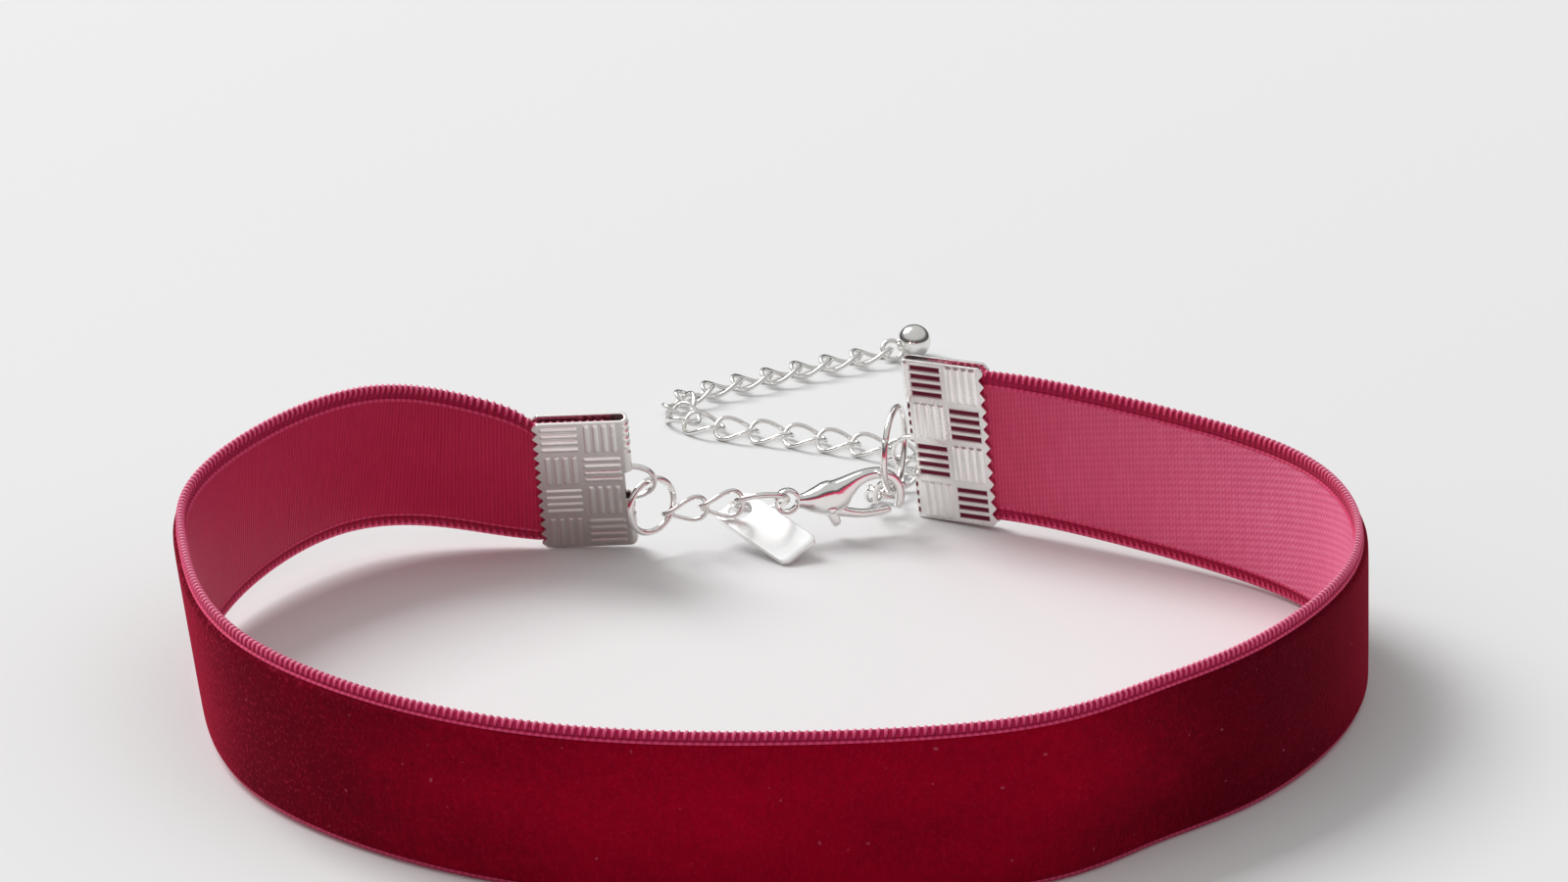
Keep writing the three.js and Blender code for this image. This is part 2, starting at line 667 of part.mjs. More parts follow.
// Every joint of the closure, the right ring and the right crimp, with all slopes tipped by pitch
function layClosure(pitch) {
  const joints = [leftJoint()];
  for (const [name, { heading, slope }] of Object.entries(CLOSURE)) {
    const rise = name === "clasp" ? slope + claspRise : slope;
    const step = direction(heading, rise + pitch).multiplyScalar(REACHES[name]);
    joints.push(joints.at(-1).clone().add(step));
  }
  const ring = frame(vec(0, 0, 0), direction(RIGHT_RING_HEADING), UP);
  const onRing = (place, arm = ringArm(RIGHT_RING)) =>
    at(ring, arm * Math.cos(rad(place)), 0, arm * Math.sin(rad(place)));
  ring.setPosition(joints.at(-1).clone().sub(onRing(RING_PLACES.clasp)));
  const crimp = crimpFrame(vec(0, 0, 0), RIGHT_CRIMP);
  const drop = crimpDrop(crimp);
  const wirePlace = onRing(RING_PLACES.crimp, wireRadius(RIGHT_RING));
  crimp.setPosition(wirePlace.sub(stripHold(crimp, RIGHT_HOLD, RIGHT_CRIMP)));
  const floor = vec(0, 0, 0).setFromMatrixPosition(crimp).z + drop;
  return { joints, ring, crimp, floor, chainStart: onRing(RING_PLACES.chain) };
}

// The pitch that stands the right crimp on the table
let pitch = 0;
let closure = layClosure(pitch);
for (let round = 0; round < SOLVE_ROUNDS; round++) {
  const run = closure.joints.at(-1).clone().sub(closure.joints[0]).setZ(0).length();
  pitch -= THREE.MathUtils.radToDeg(closure.floor / run);
  closure = layClosure(pitch);
}

place("left_crimp", makeCrimp(LEFT_CRIMP), COLOURS.silver, leftMatrix);
place("right_crimp", makeCrimp(RIGHT_CRIMP), COLOURS.silver, closure.crimp);
const ribbon = makeRibbon(
  { matrix: leftMatrix, lean: LEFT_CRIMP.lean, turn: 1 },
  { matrix: closure.crimp, lean: RIGHT_CRIMP.lean, turn: -1 },
);
place("ribbon", ribbon, COLOURS.velvet, new THREE.Matrix4());

const [j0, j1, j2, j3, j4, j5] = closure.joints;
const leftRing = ringFrame(j0, j1, CLOSURE.left_ring.roll, CLOSURE.left_ring.spread, LEFT_RING);
place("left_ring", ringGeometry(LEFT_RING), COLOURS.silver, leftRing);
[[j1, j2], [j2, j3]].forEach(([from, to], i) => {
  const name = `small_link_${i + 1}`;
  const middle = from.clone().add(to).multiplyScalar(0.5);
  const matrix = rolledFrame(middle, to.clone().sub(from), CLOSURE[name].roll);
  place(name, linkGeometry(), COLOURS.silver, matrix);
});
const tagRing = ringFrame(j3, j4, CLOSURE.tag_ring.roll, CLOSURE.tag_ring.spread, TAG_RING);
place("tag_ring", ringGeometry(TAG_RING), COLOURS.silver, tagRing);
place("right_ring", ringGeometry(RIGHT_RING), COLOURS.silver, closure.ring);

// The clasp hangs between the tag ring and the right ring
const claspAlong = direction(
  CLOSURE.clasp.heading,
  CLOSURE.clasp.slope + pitch,
);
const clasp = rolledFrame(vec(0, 0, 0), claspAlong, CLOSURE.clasp.roll);
clasp.setPosition(j5.clone().sub(at(clasp, HOOK_JOINT.x, 0, HOOK_JOINT.z)));
place("clasp_body", makeClaspBody(), COLOURS.silver, clasp);
const leverFrame = clasp.clone().setPosition(at(clasp, PIVOT.x, 0, PIVOT.z));
place("clasp_lever", makeLever(), COLOURS.silver, leverFrame);

// The tag hangs from its ring and its far corner rests on the table
const tagRadius = wireRadius(TAG_RING);
const tagSlack = (TAG_HOLE - TAG_RING.wire - JOINT_GAP) / 2;
const wirePoint = at(
  tagRing,
  tagRadius * Math.cos(rad(TAG_HANG.place)),
  0,
  tagRadius * Math.sin(rad(TAG_HANG.place)),
);
function tagFrame(slope) {
  const along = direction(TAG_HANG.heading, slope);
  const level = direction(TAG_HANG.heading + 90);
  const side = level.applyAxisAngle(along, rad(TAG_HANG.roll));
  return frame(wirePoint.clone().addScaledVector(along, tagSlack), along, side);
}
function tagFloor(slope) {
  const matrix = tagFrame(slope);
  // The middle of a corner's arc
  const cut = TAG_CORNER * (1 - Math.SQRT1_2);
  const reach = TAG_LENGTH - TAG_HOLE_INSET - cut;
  const half = TAG_WIDTH / 2 - cut;
  const heights = [-half, half].flatMap((z) =>
    [-TAG_THICKNESS / 2, TAG_THICKNESS / 2].map((y) => at(matrix, reach, y, z).z),
  );
  return Math.min(...heights);
}
let tagSlope = 0;
for (let round = 0; round < SOLVE_ROUNDS; round++) {
  tagSlope -= THREE.MathUtils.radToDeg(tagFloor(tagSlope) / TAG_LENGTH);
}
place("tag", makeTag(), COLOURS.silver, tagFrame(tagSlope));

// The extender: joints a link's reach apart along its route
const underStart = closure.chainStart.clone().setZ(0);
const routePoints = CHAIN_ROUTE.map(([x, y, z]) => vec(x, y, z).add(underStart));
const route = new THREE.CatmullRomCurve3([closure.chainStart, ...routePoints], false, "centripetal");
route.arcLengthDivisions = 400;
const routeLength = route.getLength();
let travelled = 0;
let joint = closure.chainStart;
function nextJoint(reach) {
  let low = travelled;
  let high = travelled + 2 * reach;
  for (let halving = 0; halving < HALVINGS; halving++) {
    const middle = (low + high) / 2;
    const p = route.getPointAt(Math.min(middle / routeLength, 1));
    if (p.distanceTo(joint) < reach) low = middle;
    else high = middle;
  }
  travelled = (low + high) / 2;
  return route.getPointAt(Math.min(travelled / routeLength, 1));
}
for (let i = 1; i <= CHAIN_LINKS; i++) {
  const next = nextJoint(LINK_REACH);
  const along = next.clone().sub(joint);
  const matrix = rolledFrame(joint.clone().add(next).multiplyScalar(0.5), along, CHAIN_ROLL);
  place(`chain_link_${String(i).padStart(2, "0")}`, linkGeometry(), COLOURS.silver, matrix);
  joint = next;
}
const ballEnd = nextJoint(BALL_CENTRE);
ballEnd.z = BALL_DIAMETER / 2;
place("end_ball", makeEndBall(), COLOURS.silver, rolledFrame(joint, ballEnd.sub(joint), BALL_ROLL));

// The origin goes under the middle of the whole piece
choker.updateMatrixWorld(true);
const bounds = new THREE.Box3().setFromObject(choker, true);
const centre = bounds.getCenter(vec(0, 0, 0));
for (const mesh of choker.children) mesh.position.sub(vec(centre.x, centre.y, bounds.min.z));

export default choker;
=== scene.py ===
import json
import math

import bpy
import numpy as np
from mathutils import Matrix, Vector


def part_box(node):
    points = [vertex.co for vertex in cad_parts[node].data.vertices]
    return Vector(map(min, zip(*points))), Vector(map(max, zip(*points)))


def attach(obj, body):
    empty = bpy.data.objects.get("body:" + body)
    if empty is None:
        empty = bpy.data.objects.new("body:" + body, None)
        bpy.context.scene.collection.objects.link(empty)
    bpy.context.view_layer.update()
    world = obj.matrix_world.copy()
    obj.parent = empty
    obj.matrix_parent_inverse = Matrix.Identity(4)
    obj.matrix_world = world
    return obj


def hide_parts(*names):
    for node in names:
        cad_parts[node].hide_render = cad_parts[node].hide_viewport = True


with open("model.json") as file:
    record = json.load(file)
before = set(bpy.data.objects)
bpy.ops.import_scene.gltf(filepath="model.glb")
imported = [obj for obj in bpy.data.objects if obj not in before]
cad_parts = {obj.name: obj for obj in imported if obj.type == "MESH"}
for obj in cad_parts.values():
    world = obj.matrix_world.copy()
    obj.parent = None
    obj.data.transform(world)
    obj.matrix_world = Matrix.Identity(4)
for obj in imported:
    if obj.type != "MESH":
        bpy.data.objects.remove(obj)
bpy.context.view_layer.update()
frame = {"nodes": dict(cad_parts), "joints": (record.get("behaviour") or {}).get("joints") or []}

MM = 0.001
UP = np.array([0.0, 0.0, 1.0])
FRONT = np.array([0.0, -1.0, 0.0])
ACROSS = -FRONT

# Ribbon
LOOP_WIDTH = 110
LOOP_DEPTH = 95
RIBBON_WIDTH = 16
RIBBON_INSERT = 7.6
RIBBON_STEP = 0.4
PRESSED_HALF = 0.3
PRESSED_START = 0.5
PRESSED_STRETCH = 4
LEFT_LEAD = 3.5
LEFT_LEAD_LEAN = 14
LEFT_LEAD_RISE = 0.45
RIGHT_LEAD = 6.5
LEFT_MOUTH = (-0.22, 0.915)
LEFT_LEAN = 25
RIGHT_LEAN = 6

# across and back are shares of the loop's width and depth, lean the degrees that the upper edge tips
# inwards, lift the share of the ribbon's width that its lower edge hangs off the table
RIBBON_RUN = [
    {"across": -0.395, "back": 0.95, "lean": 13, "lift": 0.245},
    {"across": -0.515, "back": 0.68, "lean": -6, "lift": 0.08},
    {"across": -0.49, "back": 0.515, "lean": -10, "lift": 0.05},
    {"across": -0.47, "back": 0.25, "lean": -4, "lift": 0.01},
    {"across": -0.25, "back": 0.025, "lean": -3, "lift": 0},
    {"across": -0.015, "back": -0.01, "lean": 2, "lift": 0},
    {"across": 0.22, "back": 0.02, "lean": 4, "lift": 0},
    {"across": 0.3, "back": 0.15, "lean": -2, "lift": 0},
    {"across": 0.4, "back": 0.235, "lean": 2, "lift": 0},
    {"across": 0.5, "back": 0.47, "lean": -1, "lift": 0},
    {"across": 0.5, "back": 0.71, "lean": 4, "lift": 0},
    {"across": 0.42, "back": 0.84, "lean": 3, "lift": 0.02},
]

# Half the ribbon's section from its edge to its middle: satin and pile are the distances of the two
# faces from the middle plane at each height from the edge
CLOTH_FACES = [
    {"height": 0.0, "satin": 0.1, "pile": 0.1},
    {"height": 0.1, "satin": 0.2, "pile": 0.2},
    {"height": 0.4, "satin": 0.28, "pile": 0.28},
    {"height": 0.62, "satin": 0.28, "pile": 0.27},
    {"height": 0.74, "satin": 0.3, "pile": 0.22},
    {"height": 0.82, "satin": 0.31, "pile": 0.26},
    {"height": 0.9, "satin": 0.32, "pile": 0.46},
    {"height": 0.98, "satin": 0.33, "pile": 0.52},
    {"height": 1.06, "satin": 0.32, "pile": 0.5},
    {"height": 1.14, "satin": 0.26, "pile": 0.55},
    {"height": 1.25, "satin": 0.24, "pile": 0.72},
    {"height": 1.34, "satin": 0.42, "pile": 0.8},
    {"height": 1.46, "satin": 0.48, "pile": 0.86},
    {"height": 1.58, "satin": 0.42, "pile": 0.9},
    {"height": 1.9, "satin": 0.48, "pile": 0.93},
    {"height": 2.7, "satin": 0.5, "pile": 0.95},
    {"height": 4.0, "satin": 0.5, "pile": 0.96},
    {"height": 6.0, "satin": 0.5, "pile": 0.96},
    {"height": 8.0, "satin": 0.5, "pile": 0.96},
]
SATIN_EDGE = 1.55
PILE_EDGE = 1.1
FOOT_PILE = 0.34
FOOT_EDGE = 0.58
FOOT_SWELL = {"full": 0.93, "less": 0.5, "over": 0.18, "up_to": 2}

# Pitches of the satin's upright ribs, of its twill with its slope, and of its cross threads
RIB_PITCH = 0.4
TWILL_PITCH = 0.52
TWILL_SLOPE = 0.8
WEFT_PITCH = 0.7
WEFT_DRIFT = 2.8

# Thread loops that bind both edges
EDGE_LOOP_PITCH = 0.72
EDGE_LOOP_THREAD = 0.135
EDGE_LOOP_HALF = 0.3
EDGE_LOOP_LEG = 0.42
EDGE_LOOP_SLANT = 0.16
EDGE_LOOP_SWELL = 1.25
EDGE_LOOP_BEND = 0.62
EDGE_LOOP_TAPER = 0.35
PRESSED_LOOP_LOSS = 0.4
UPPER_LOOP_RISE = 0.05
FOOT_LOOP_SEAT = 1.2
FOOT_LEG = 0.05

# Crimps
CRIMP_HEIGHT = 17
CRIMP_DEPTH = 9.4
SHEET = 0.3
FOLD_RADIUS = 0.75
TOOTH_COUNT = 13
TOOTH_LENGTH = 0.6
TOOTH_ROOT = 0.75
CRIMP_GRAIN = 0.1
STRIP_WIDTH = 0.6
STRIP_THICKNESS = 0.4
STRIP_HEIGHT = 4.6
STRIP_REACH = 2.4
LEFT_STRIP = -0.4
RIGHT_STRIP = -2.3
STAMP_ROWS = 4
STAMP_COLUMNS = 3
STAMP_BARS = 4
STAMP_RISE = 0.12
STAMP_SLOPE = 0.09
LEFT_BAR_SHARE = 0.4
RIGHT_BAR_SHARE = 0.64
BLOCK_SHARE = 0.86
SUNK_SHARE = 1.6
# Share of painted shade in the flat between the left crimp's raised bars
SHADE_BETWEEN_BARS = 0.25
CRIMP_RIM = 0.05
CRIMP_RIM_ANGLE = 62

# Wire work: outer size, wire and, in degrees from its top, the closed cut of each ring
RINGS = {
    "left_ring": {"across": 6.1, "wire": 0.65, "cut": 160},
    "tag_ring": {"across": 6.1, "wire": 0.6, "cut": 70},
    "right_ring": {"across": 9.0, "wire": 0.65, "cut": 60},
}
LINK_LENGTH = 4.9
LINK_WIDTH = 3.6
LINK_WIRE = 0.46
LINK_TWIST = 0.55
CHAIN_LINKS = 21
BALL_DIAMETER = 3.5
BALL_EYE = {"across": 2.6, "wire": 0.5}
BALL_OPENING = 0.55
BALL_NECK = [{"out": 0.985, "radius": 0.52}, {"out": 1.07, "radius": 0.46}, {"out": 1.13, "radius": 0.3}]

# Tag
TAG_LENGTH = 10.2
TAG_WIDTH = 4.5
TAG_THICKNESS = 0.6
TAG_CORNER = 0.8
TAG_HOLE = 2.3
TAG_HOLE_INSET = 1.55
TAG_SOFT_EDGE = 0.09
TAG_BOW = 0.05

# Lobster clasp: its lines, pivot and boss are shares of its length
CLASP_LENGTH = 12.9
CLASP_BODY_THICKNESS = 2.3
HOOK_THICKNESS = 1.3
EYE_THICKNESS = 1.0
EYE_HOLE = 1.8
EYE_WALL = 0.45
LEVER_THICKNESS = 0.9
SLOT_CLEARANCE = 0.2
RIVET_DIAMETER = 0.8
RIVET_HEAD = {"share": 0.55, "rise": 0.16, "sink": 0.06, "skirt": 0.3}
LIMB_TIP_SHARE = 0.9
LIMB_TIP_LEAST = 0.02
EYE_SWELL = 0.02
LEVER_BOSS = 0.15
PIVOT = np.array([0.34, 0.0, -0.045]) * CLASP_LENGTH

# Camera: how far it stands from the chain's middle, its elevation, and its lens for a 36 mm sensor
CAMERA_DISTANCE = 1000
CAMERA_ELEVATION = 20
CAMERA_LENS = 226.8
CAMERA_TARGET = np.array([0.0, 120.5, 0.0])


# Meshes

def unit(vectors):
    """Vectors divided by their lengths."""
    return vectors / np.linalg.norm(vectors, axis=-1, keepdims=True)


class Skin:
    """Gathers grids of points, in millimetres, and makes one mesh of them."""

    def __init__(self):
        self.points = []
        self.faces = []
        self.paints = []
        self.notes = {}
        self.count = 0

    def add(self, grid, wrap_rows=False, wrap_columns=True, paint=0, keep=None, outward=None,
            **notes):
        """Joins a grid of points (rows, columns, 3) with quads; rows or columns that wrap meet again.
        Where the columns wrap and the rows don't, both ends are closed with a fan round their middle.
        A closed skin is turned so that its signed volume is positive."""
        rows, columns = grid.shape[:2]
        index = np.arange(rows * columns).reshape(rows, columns)
        down = np.vstack([index, index[:1]]) if wrap_rows else index
        both = np.hstack([down, down[:, :1]]) if wrap_columns else down
        quads = np.stack([both[:-1, :-1], both[1:, :-1], both[1:, 1:], both[:-1, 1:]], -1)
        paints = np.broadcast_to(paint, quads.shape[:2]).reshape(-1)
        quads = quads.reshape(-1, 4)
        if keep is not None:
            quads, paints = quads[keep.reshape(-1)], paints[keep.reshape(-1)]
        points = grid.reshape(-1, 3)
        fans = np.zeros((0, 3), int)
        if wrap_columns and not wrap_rows:
            middle = np.stack([grid[0].mean(0), grid[-1].mean(0)])
            a, b = both[0], both[-1]
            first = np.stack([a[:-1], a[1:], np.full(columns, len(points))], -1)
            last = np.stack([b[1:], b[:-1], np.full(columns, len(points) + 1)], -1)
            fans = np.vstack([first, last])
            points = np.vstack([points, middle])
        triangles = np.vstack([quads[:, [0, 1, 2]], quads[:, [0, 2, 3]], fans])
        a, b, c = (points[triangles[:, k]] for k in range(3))
        inside_out = (a * np.cross(b, c)).sum() < 0 if outward is None else not outward
        if inside_out:
            quads, fans = quads[:, ::-1], fans[:, ::-1]
        self.points.append(points)
        self.faces += (quads + self.count).tolist() + (fans + self.count).tolist()
        last_paint = paints[-1] if len(paints) else 0
        self.paints += [paints, np.full(len(fans), last_paint)]
        for name, values in notes.items():
            flat = values.reshape(rows * columns, -1)
            extra = len(points) - len(flat)
            if extra:
                ends = values.reshape(rows, columns, -1)
                flat = np.vstack([flat, ends[0].mean(0), ends[-1].mean(0)])
            self.notes.setdefault(name, []).append(flat)
        self.count += len(points)
        return self

    def piece(self, name, finishes, body, slot, *nodes):
        """One object at the origin that stands for CAD nodes and rides on their body."""
        mesh = bpy.data.meshes.new(name)
        mesh.from_pydata((np.vstack(self.points) * MM).tolist(), [], self.faces)
        for finish in finishes:
            mesh.materials.append(finish.material)
        mesh.polygons.foreach_set("material_index", np.concatenate(self.paints).astype(np.int32))
        mesh.polygons.foreach_set("use_smooth", np.full(len(mesh.polygons), True))
        for note, parts in self.notes.items():
            values = np.vstack(parts)
            kind = "FLOAT" if values.shape[1] == 1 else "FLOAT_VECTOR"
            attribute = mesh.attributes.new(note, kind, "POINT")
            field = "value" if kind == "FLOAT" else "vector"
            attribute.data.foreach_set(field, values.astype(np.float32).ravel())
        mesh.update()
        mesh.validate()
        made = bpy.data.objects.new(name, mesh)
        bpy.context.scene.collection.objects.link(made)
        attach(made, body)
        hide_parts(*nodes)
        return made


def circle(steps, radius=1.0, start=0.0):
    """Points round a circle as (cos, sin) times its radius."""
    angle = start + 2 * np.pi * np.arange(steps) / steps
    return np.stack([np.cos(angle), np.sin(angle)], -1) * radius


def cushion_section(steps, power):
    """A superellipse: each of cos and sin is raised to a power and keeps its sign, so that a low power
    gives a box with round corners."""
    ring = circle(steps)
    return np.sign(ring) * np.abs(ring) ** power


def sweep(path, side, section, closed=False):
    """Carries a section along a path. Each ring is the path's point plus a times side plus b times
    (tangent x side), where a and b are the section's columns; section may differ from ring to ring."""
    if closed:
        tangent = np.roll(path, -1, 0) - np.roll(path, 1, 0)
    else:
        tangent = np.gradient(path, axis=0)
    tangent = unit(tangent)
    side = unit(side - (side * tangent).sum(-1, keepdims=True) * tangent)
    other = np.cross(tangent, side)
    a, b = section[..., 0], section[..., 1]
    return path[:, None] + a[..., None] * side[:, None] + b[..., None] * other[:, None]


def wire(path, thickness, sides, closed=True):
    """A round wire: at every point of a path, a circle of half its thickness."""
    return sweep(path, ACROSS, circle(sides, thickness / 2)[None], closed)


def hoop(angle, wide, tall, bulge=0.0):
    """Points round an oval: x is wide times cos, z tall times sin, and y the bulge."""
    return np.stack([wide * np.cos(angle), bulge + 0 * angle, tall * np.sin(angle)], -1)


def turned(place, radius, sides, about="x"):
    """A turned surface: at every place along x or y, a circle of that place's radius."""
    ring = radius[:, None, None] * circle(sides)[None]
    along = np.broadcast_to(place[:, None], ring.shape[:2])
    if about == "x":
        return np.stack([along, ring[..., 0], ring[..., 1]], -1)
    return np.stack([ring[..., 0], along, ring[..., 1]], -1)


def smooth_line(rows, steps):
    """A Catmull-Rom curve through rows of numbers, read at even steps of its own length."""
    rows = np.array(rows, float)
    padded = np.vstack([2 * rows[0] - rows[1], rows, 2 * rows[-1] - rows[-2]])
    place = np.linspace(0, len(rows) - 1 - 1e-9, 40 * len(rows))
    i = place.astype(int)
    f = (place - i)[:, None]
    p0, p1, p2, p3 = (padded[i + k] for k in range(4))
    curve = p1 + f * (p2 - p0) / 2 + f ** 2 * (2 * p0 - 5 * p1 + 4 * p2 - p3) / 2
    curve += f ** 3 * (3 * p1 - p0 - 3 * p2 + p3) / 2
    length = np.concatenate([[0], np.cumsum(np.linalg.norm(np.diff(curve[:, :2], axis=0), axis=1))])
    even = np.linspace(0, length[-1], steps)
    return np.stack([np.interp(even, length, curve[:, k]) for k in range(curve.shape[1])], -1)


# Where each solid of the frame stands

def corners(node):
    """The different corners of a solid, in millimetres."""
    mesh = frame["nodes"][node].data
    flat = np.zeros(len(mesh.vertices) * 3)
    mesh.vertices.foreach_get("co", flat)
    return np.unique(np.round(flat.reshape(-1, 3) / MM, 3), axis=0)


def main_axes(points):
    """Middle of a cloud of points, and its axes from the widest to the narrowest, right-handed."""
    middle = points.mean(0)
    axes = np.linalg.svd(points - middle, full_matrices=False)[2]
    axes[2] = np.cross(axes[0], axes[1])
    return middle, axes


def flat_facing(node, wanted):
    """The direction near the wanted one in which most of a solid's flat area faces."""
    faces = frame["nodes"][node].data.polygons
    normals, areas = np.zeros(len(faces) * 3), np.zeros(len(faces))
    faces.foreach_get("normal", normals)
    faces.foreach_get("area", areas)
    normals = normals.reshape(-1, 3)
    near = normals @ wanted > 0.7
    normals, areas = normals[near], areas[near]
    alike = normals @ normals.T > 0.99999
    best = alike[(alike * areas).sum(1).argmax()]
    return unit((normals[best] * areas[best, None]).sum(0))


class Place:
    """A local frame: points in it go to the model by origin + x, y, z times its axes."""

    def __init__(self, origin, x, y, z):
        self.origin = np.array(origin, float)
        self.axes = np.stack([x, y, z])

    def at(self, points):
        return self.origin + np.asarray(points, float) @ self.axes


def crimp_place(node, y):
    """A crimp's frame: x from the middle of the mouth to the fold, z up, y through the sheets."""
    z = flat_facing(node, UP)
    y = unit(y - (y @ z) * z)
    x = np.cross(y, z)
    points = corners(node)
    spans = [points @ axis for axis in (x, y, z)]
    mouth = spans[0].min() * x
    return Place(mouth + (spans[1].max() + spans[1].min()) / 2 * y
                 + (spans[2].max() + spans[2].min()) / 2 * z, x, y, z)


left_place = crimp_place("left_crimp", -flat_facing("left_crimp", FRONT))
right_place = crimp_place("right_crimp", flat_facing("right_crimp", FRONT))

# What takes the ribbon's loop frame, with the table at its z = 0, to the model
to_model = left_place.origin - np.array([LEFT_MOUTH[0] * LOOP_WIDTH, LEFT_MOUTH[1] * LOOP_DEPTH, 0])
to_model[2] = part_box("left_crimp")[0].z / MM

hinge = frame["joints"][0]
clasp_y = -unit(np.array(hinge["axis"], float))
clasp_z = -flat_facing("clasp_body", -UP)
clasp_z = unit(clasp_z - (clasp_z @ clasp_y) * clasp_y)
clasp_x = np.cross(clasp_y, clasp_z)
rivet = np.array(hinge["pos_m"]) / MM
lever_place = Place(rivet, clasp_x, clasp_y, clasp_z)
clasp_place = Place(lever_place.at(-PIVOT), clasp_x, clasp_y, clasp_z)


# Camera

camera = bpy.data.objects.new("camera", bpy.data.cameras.new("camera"))
bpy.context.scene.collection.objects.link(camera)
bpy.context.scene.camera = camera
tilt = math.radians(CAMERA_ELEVATION)
away = np.array([0, -math.cos(tilt), math.sin(tilt)]) * CAMERA_DISTANCE
camera.location = Vector((CAMERA_TARGET + to_model + away) * MM)
camera.rotation_euler = (math.pi / 2 - tilt, 0, 0)
camera.data.sensor_width = 36
camera.data.lens = CAMERA_LENS
camera.data.clip_start = 0.05
camera.data.clip_end = 50


# Finishes

class Field:
    """A node's output. Python's operators carry on from it with Math nodes."""

    def __init__(self, finish, socket):
        self.finish = finish
        self.socket = socket

    def maths(self, operation, *values, clamp=False):
        settings = {"operation": operation, "use_clamp": clamp}
        return self.finish.node("ShaderNodeMath", settings, dict(enumerate(values)))

    def __add__(self, other):
        return self.maths("ADD", self, other)

    def __sub__(self, other):
        return self.maths("SUBTRACT", self, other)

    def __rsub__(self, other):
        return self.maths("SUBTRACT", other, self)

    def __mul__(self, other):
        return self.maths("MULTIPLY", self, other)

    def __truediv__(self, other):
        return self.maths("DIVIDE", self, other)

    def __rtruediv__(self, other):
        return self.maths("DIVIDE", other, self)

    def __pow__(self, other):
        return self.maths("POWER", self, other)

    __radd__ = __add__
    __rmul__ = __mul__

    def sine(self):
        return self.maths("SINE", self)

    def clamped(self):
        return self.maths("ADD", self, 0.0, clamp=True)

    def above(self, low, high):
        """0 under low, 1 over high, even between."""
        return ((self - low) / (high - low)).clamped()


class Finish:
    """A material, with one method that makes any node of it."""

    def __init__(self, name, **constants):
        self.material = bpy.data.materials.new(name)
        self.material.use_nodes = True
        self.nodes = self.material.node_tree.nodes
        self.links = self.material.node_tree.links
        self.shader = self.nodes["Principled BSDF"]
        for socket, value in constants.items():
            self.feed(self.shader.inputs[socket.replace("_", " ").title().replace("Ior", "IOR")], value)

    def feed(self, socket, value):
        """Links a Field to a socket, or sets the socket's own value."""
        if isinstance(value, Field):
            self.links.new(value.socket, socket)
        elif isinstance(value, tuple) and len(value) == 3 and socket.type == "RGBA":
            socket.default_value = (*value, 1)
        else:
            socket.default_value = value

    def node(self, kind, settings=None, inputs=None, output=0):
        made = self.nodes.new(kind)
        for name, value in (settings or {}).items():
            if name == "stops":
                for stop, (place, colour) in zip(self.stops(made, len(value)), value):
                    stop.position, stop.color = place, (*colour, 1)
            else:
                setattr(made, name, value)
        for name, value in (inputs or {}).items():
            self.feed(made.inputs[name], value)
        return Field(self, made.outputs[output])

    @staticmethod
    def stops(ramp, count):
        while len(ramp.color_ramp.elements) < count:
            ramp.color_ramp.elements.new(1)
        return ramp.color_ramp.elements

    def set(self, **fields):
        for socket, value in fields.items():
            self.feed(self.shader.inputs[socket.replace("_", " ").title()], value)
        return self

    def note(self, name, output="Vector"):
        return self.node("ShaderNodeAttribute", {"attribute_name": name}, output=output)

    def scaled(self, vector, x, y, z):
        return self.node("ShaderNodeVectorMath", {"operation": "MULTIPLY"}, {0: vector, 1: (x, y, z)})

    def parts(self, vector):
        made = self.node("ShaderNodeSeparateXYZ", None, {0: vector})
        return [made, *(Field(self, made.socket.node.outputs[k]) for k in (1, 2))]

    def noise(self, vector, scale, detail=2.0, roughness=0.5):
        inputs = {"Vector": vector, "Scale": scale, "Detail": detail, "Roughness": roughness}
        return self.node("ShaderNodeTexNoise", None, inputs)

    def mix(self, share, first, second, blend="MIX"):
        settings = {"data_type": "RGBA", "blend_type": blend}
        return self.node("ShaderNodeMix", settings, {0: share, 6: first, 7: second}, output=2)

    def shades(self, share, stops):
        """A colour read at a share between stops, each its place and colour."""
        return self.node("ShaderNodeValToRGB", {"stops": stops}, {"Fac": share})

    def bump(self, height, depth, strength):
        inputs = {"Height": height, "Distance": depth, "Strength": strength}
        return self.node("ShaderNodeBump", None, inputs)


def wave(distance, pitch):
    """From 0 to 1 and back in every pitch of a distance."""
    return (distance * (2 * math.pi / (pitch * MM))).sine() * 0.5 + 0.5


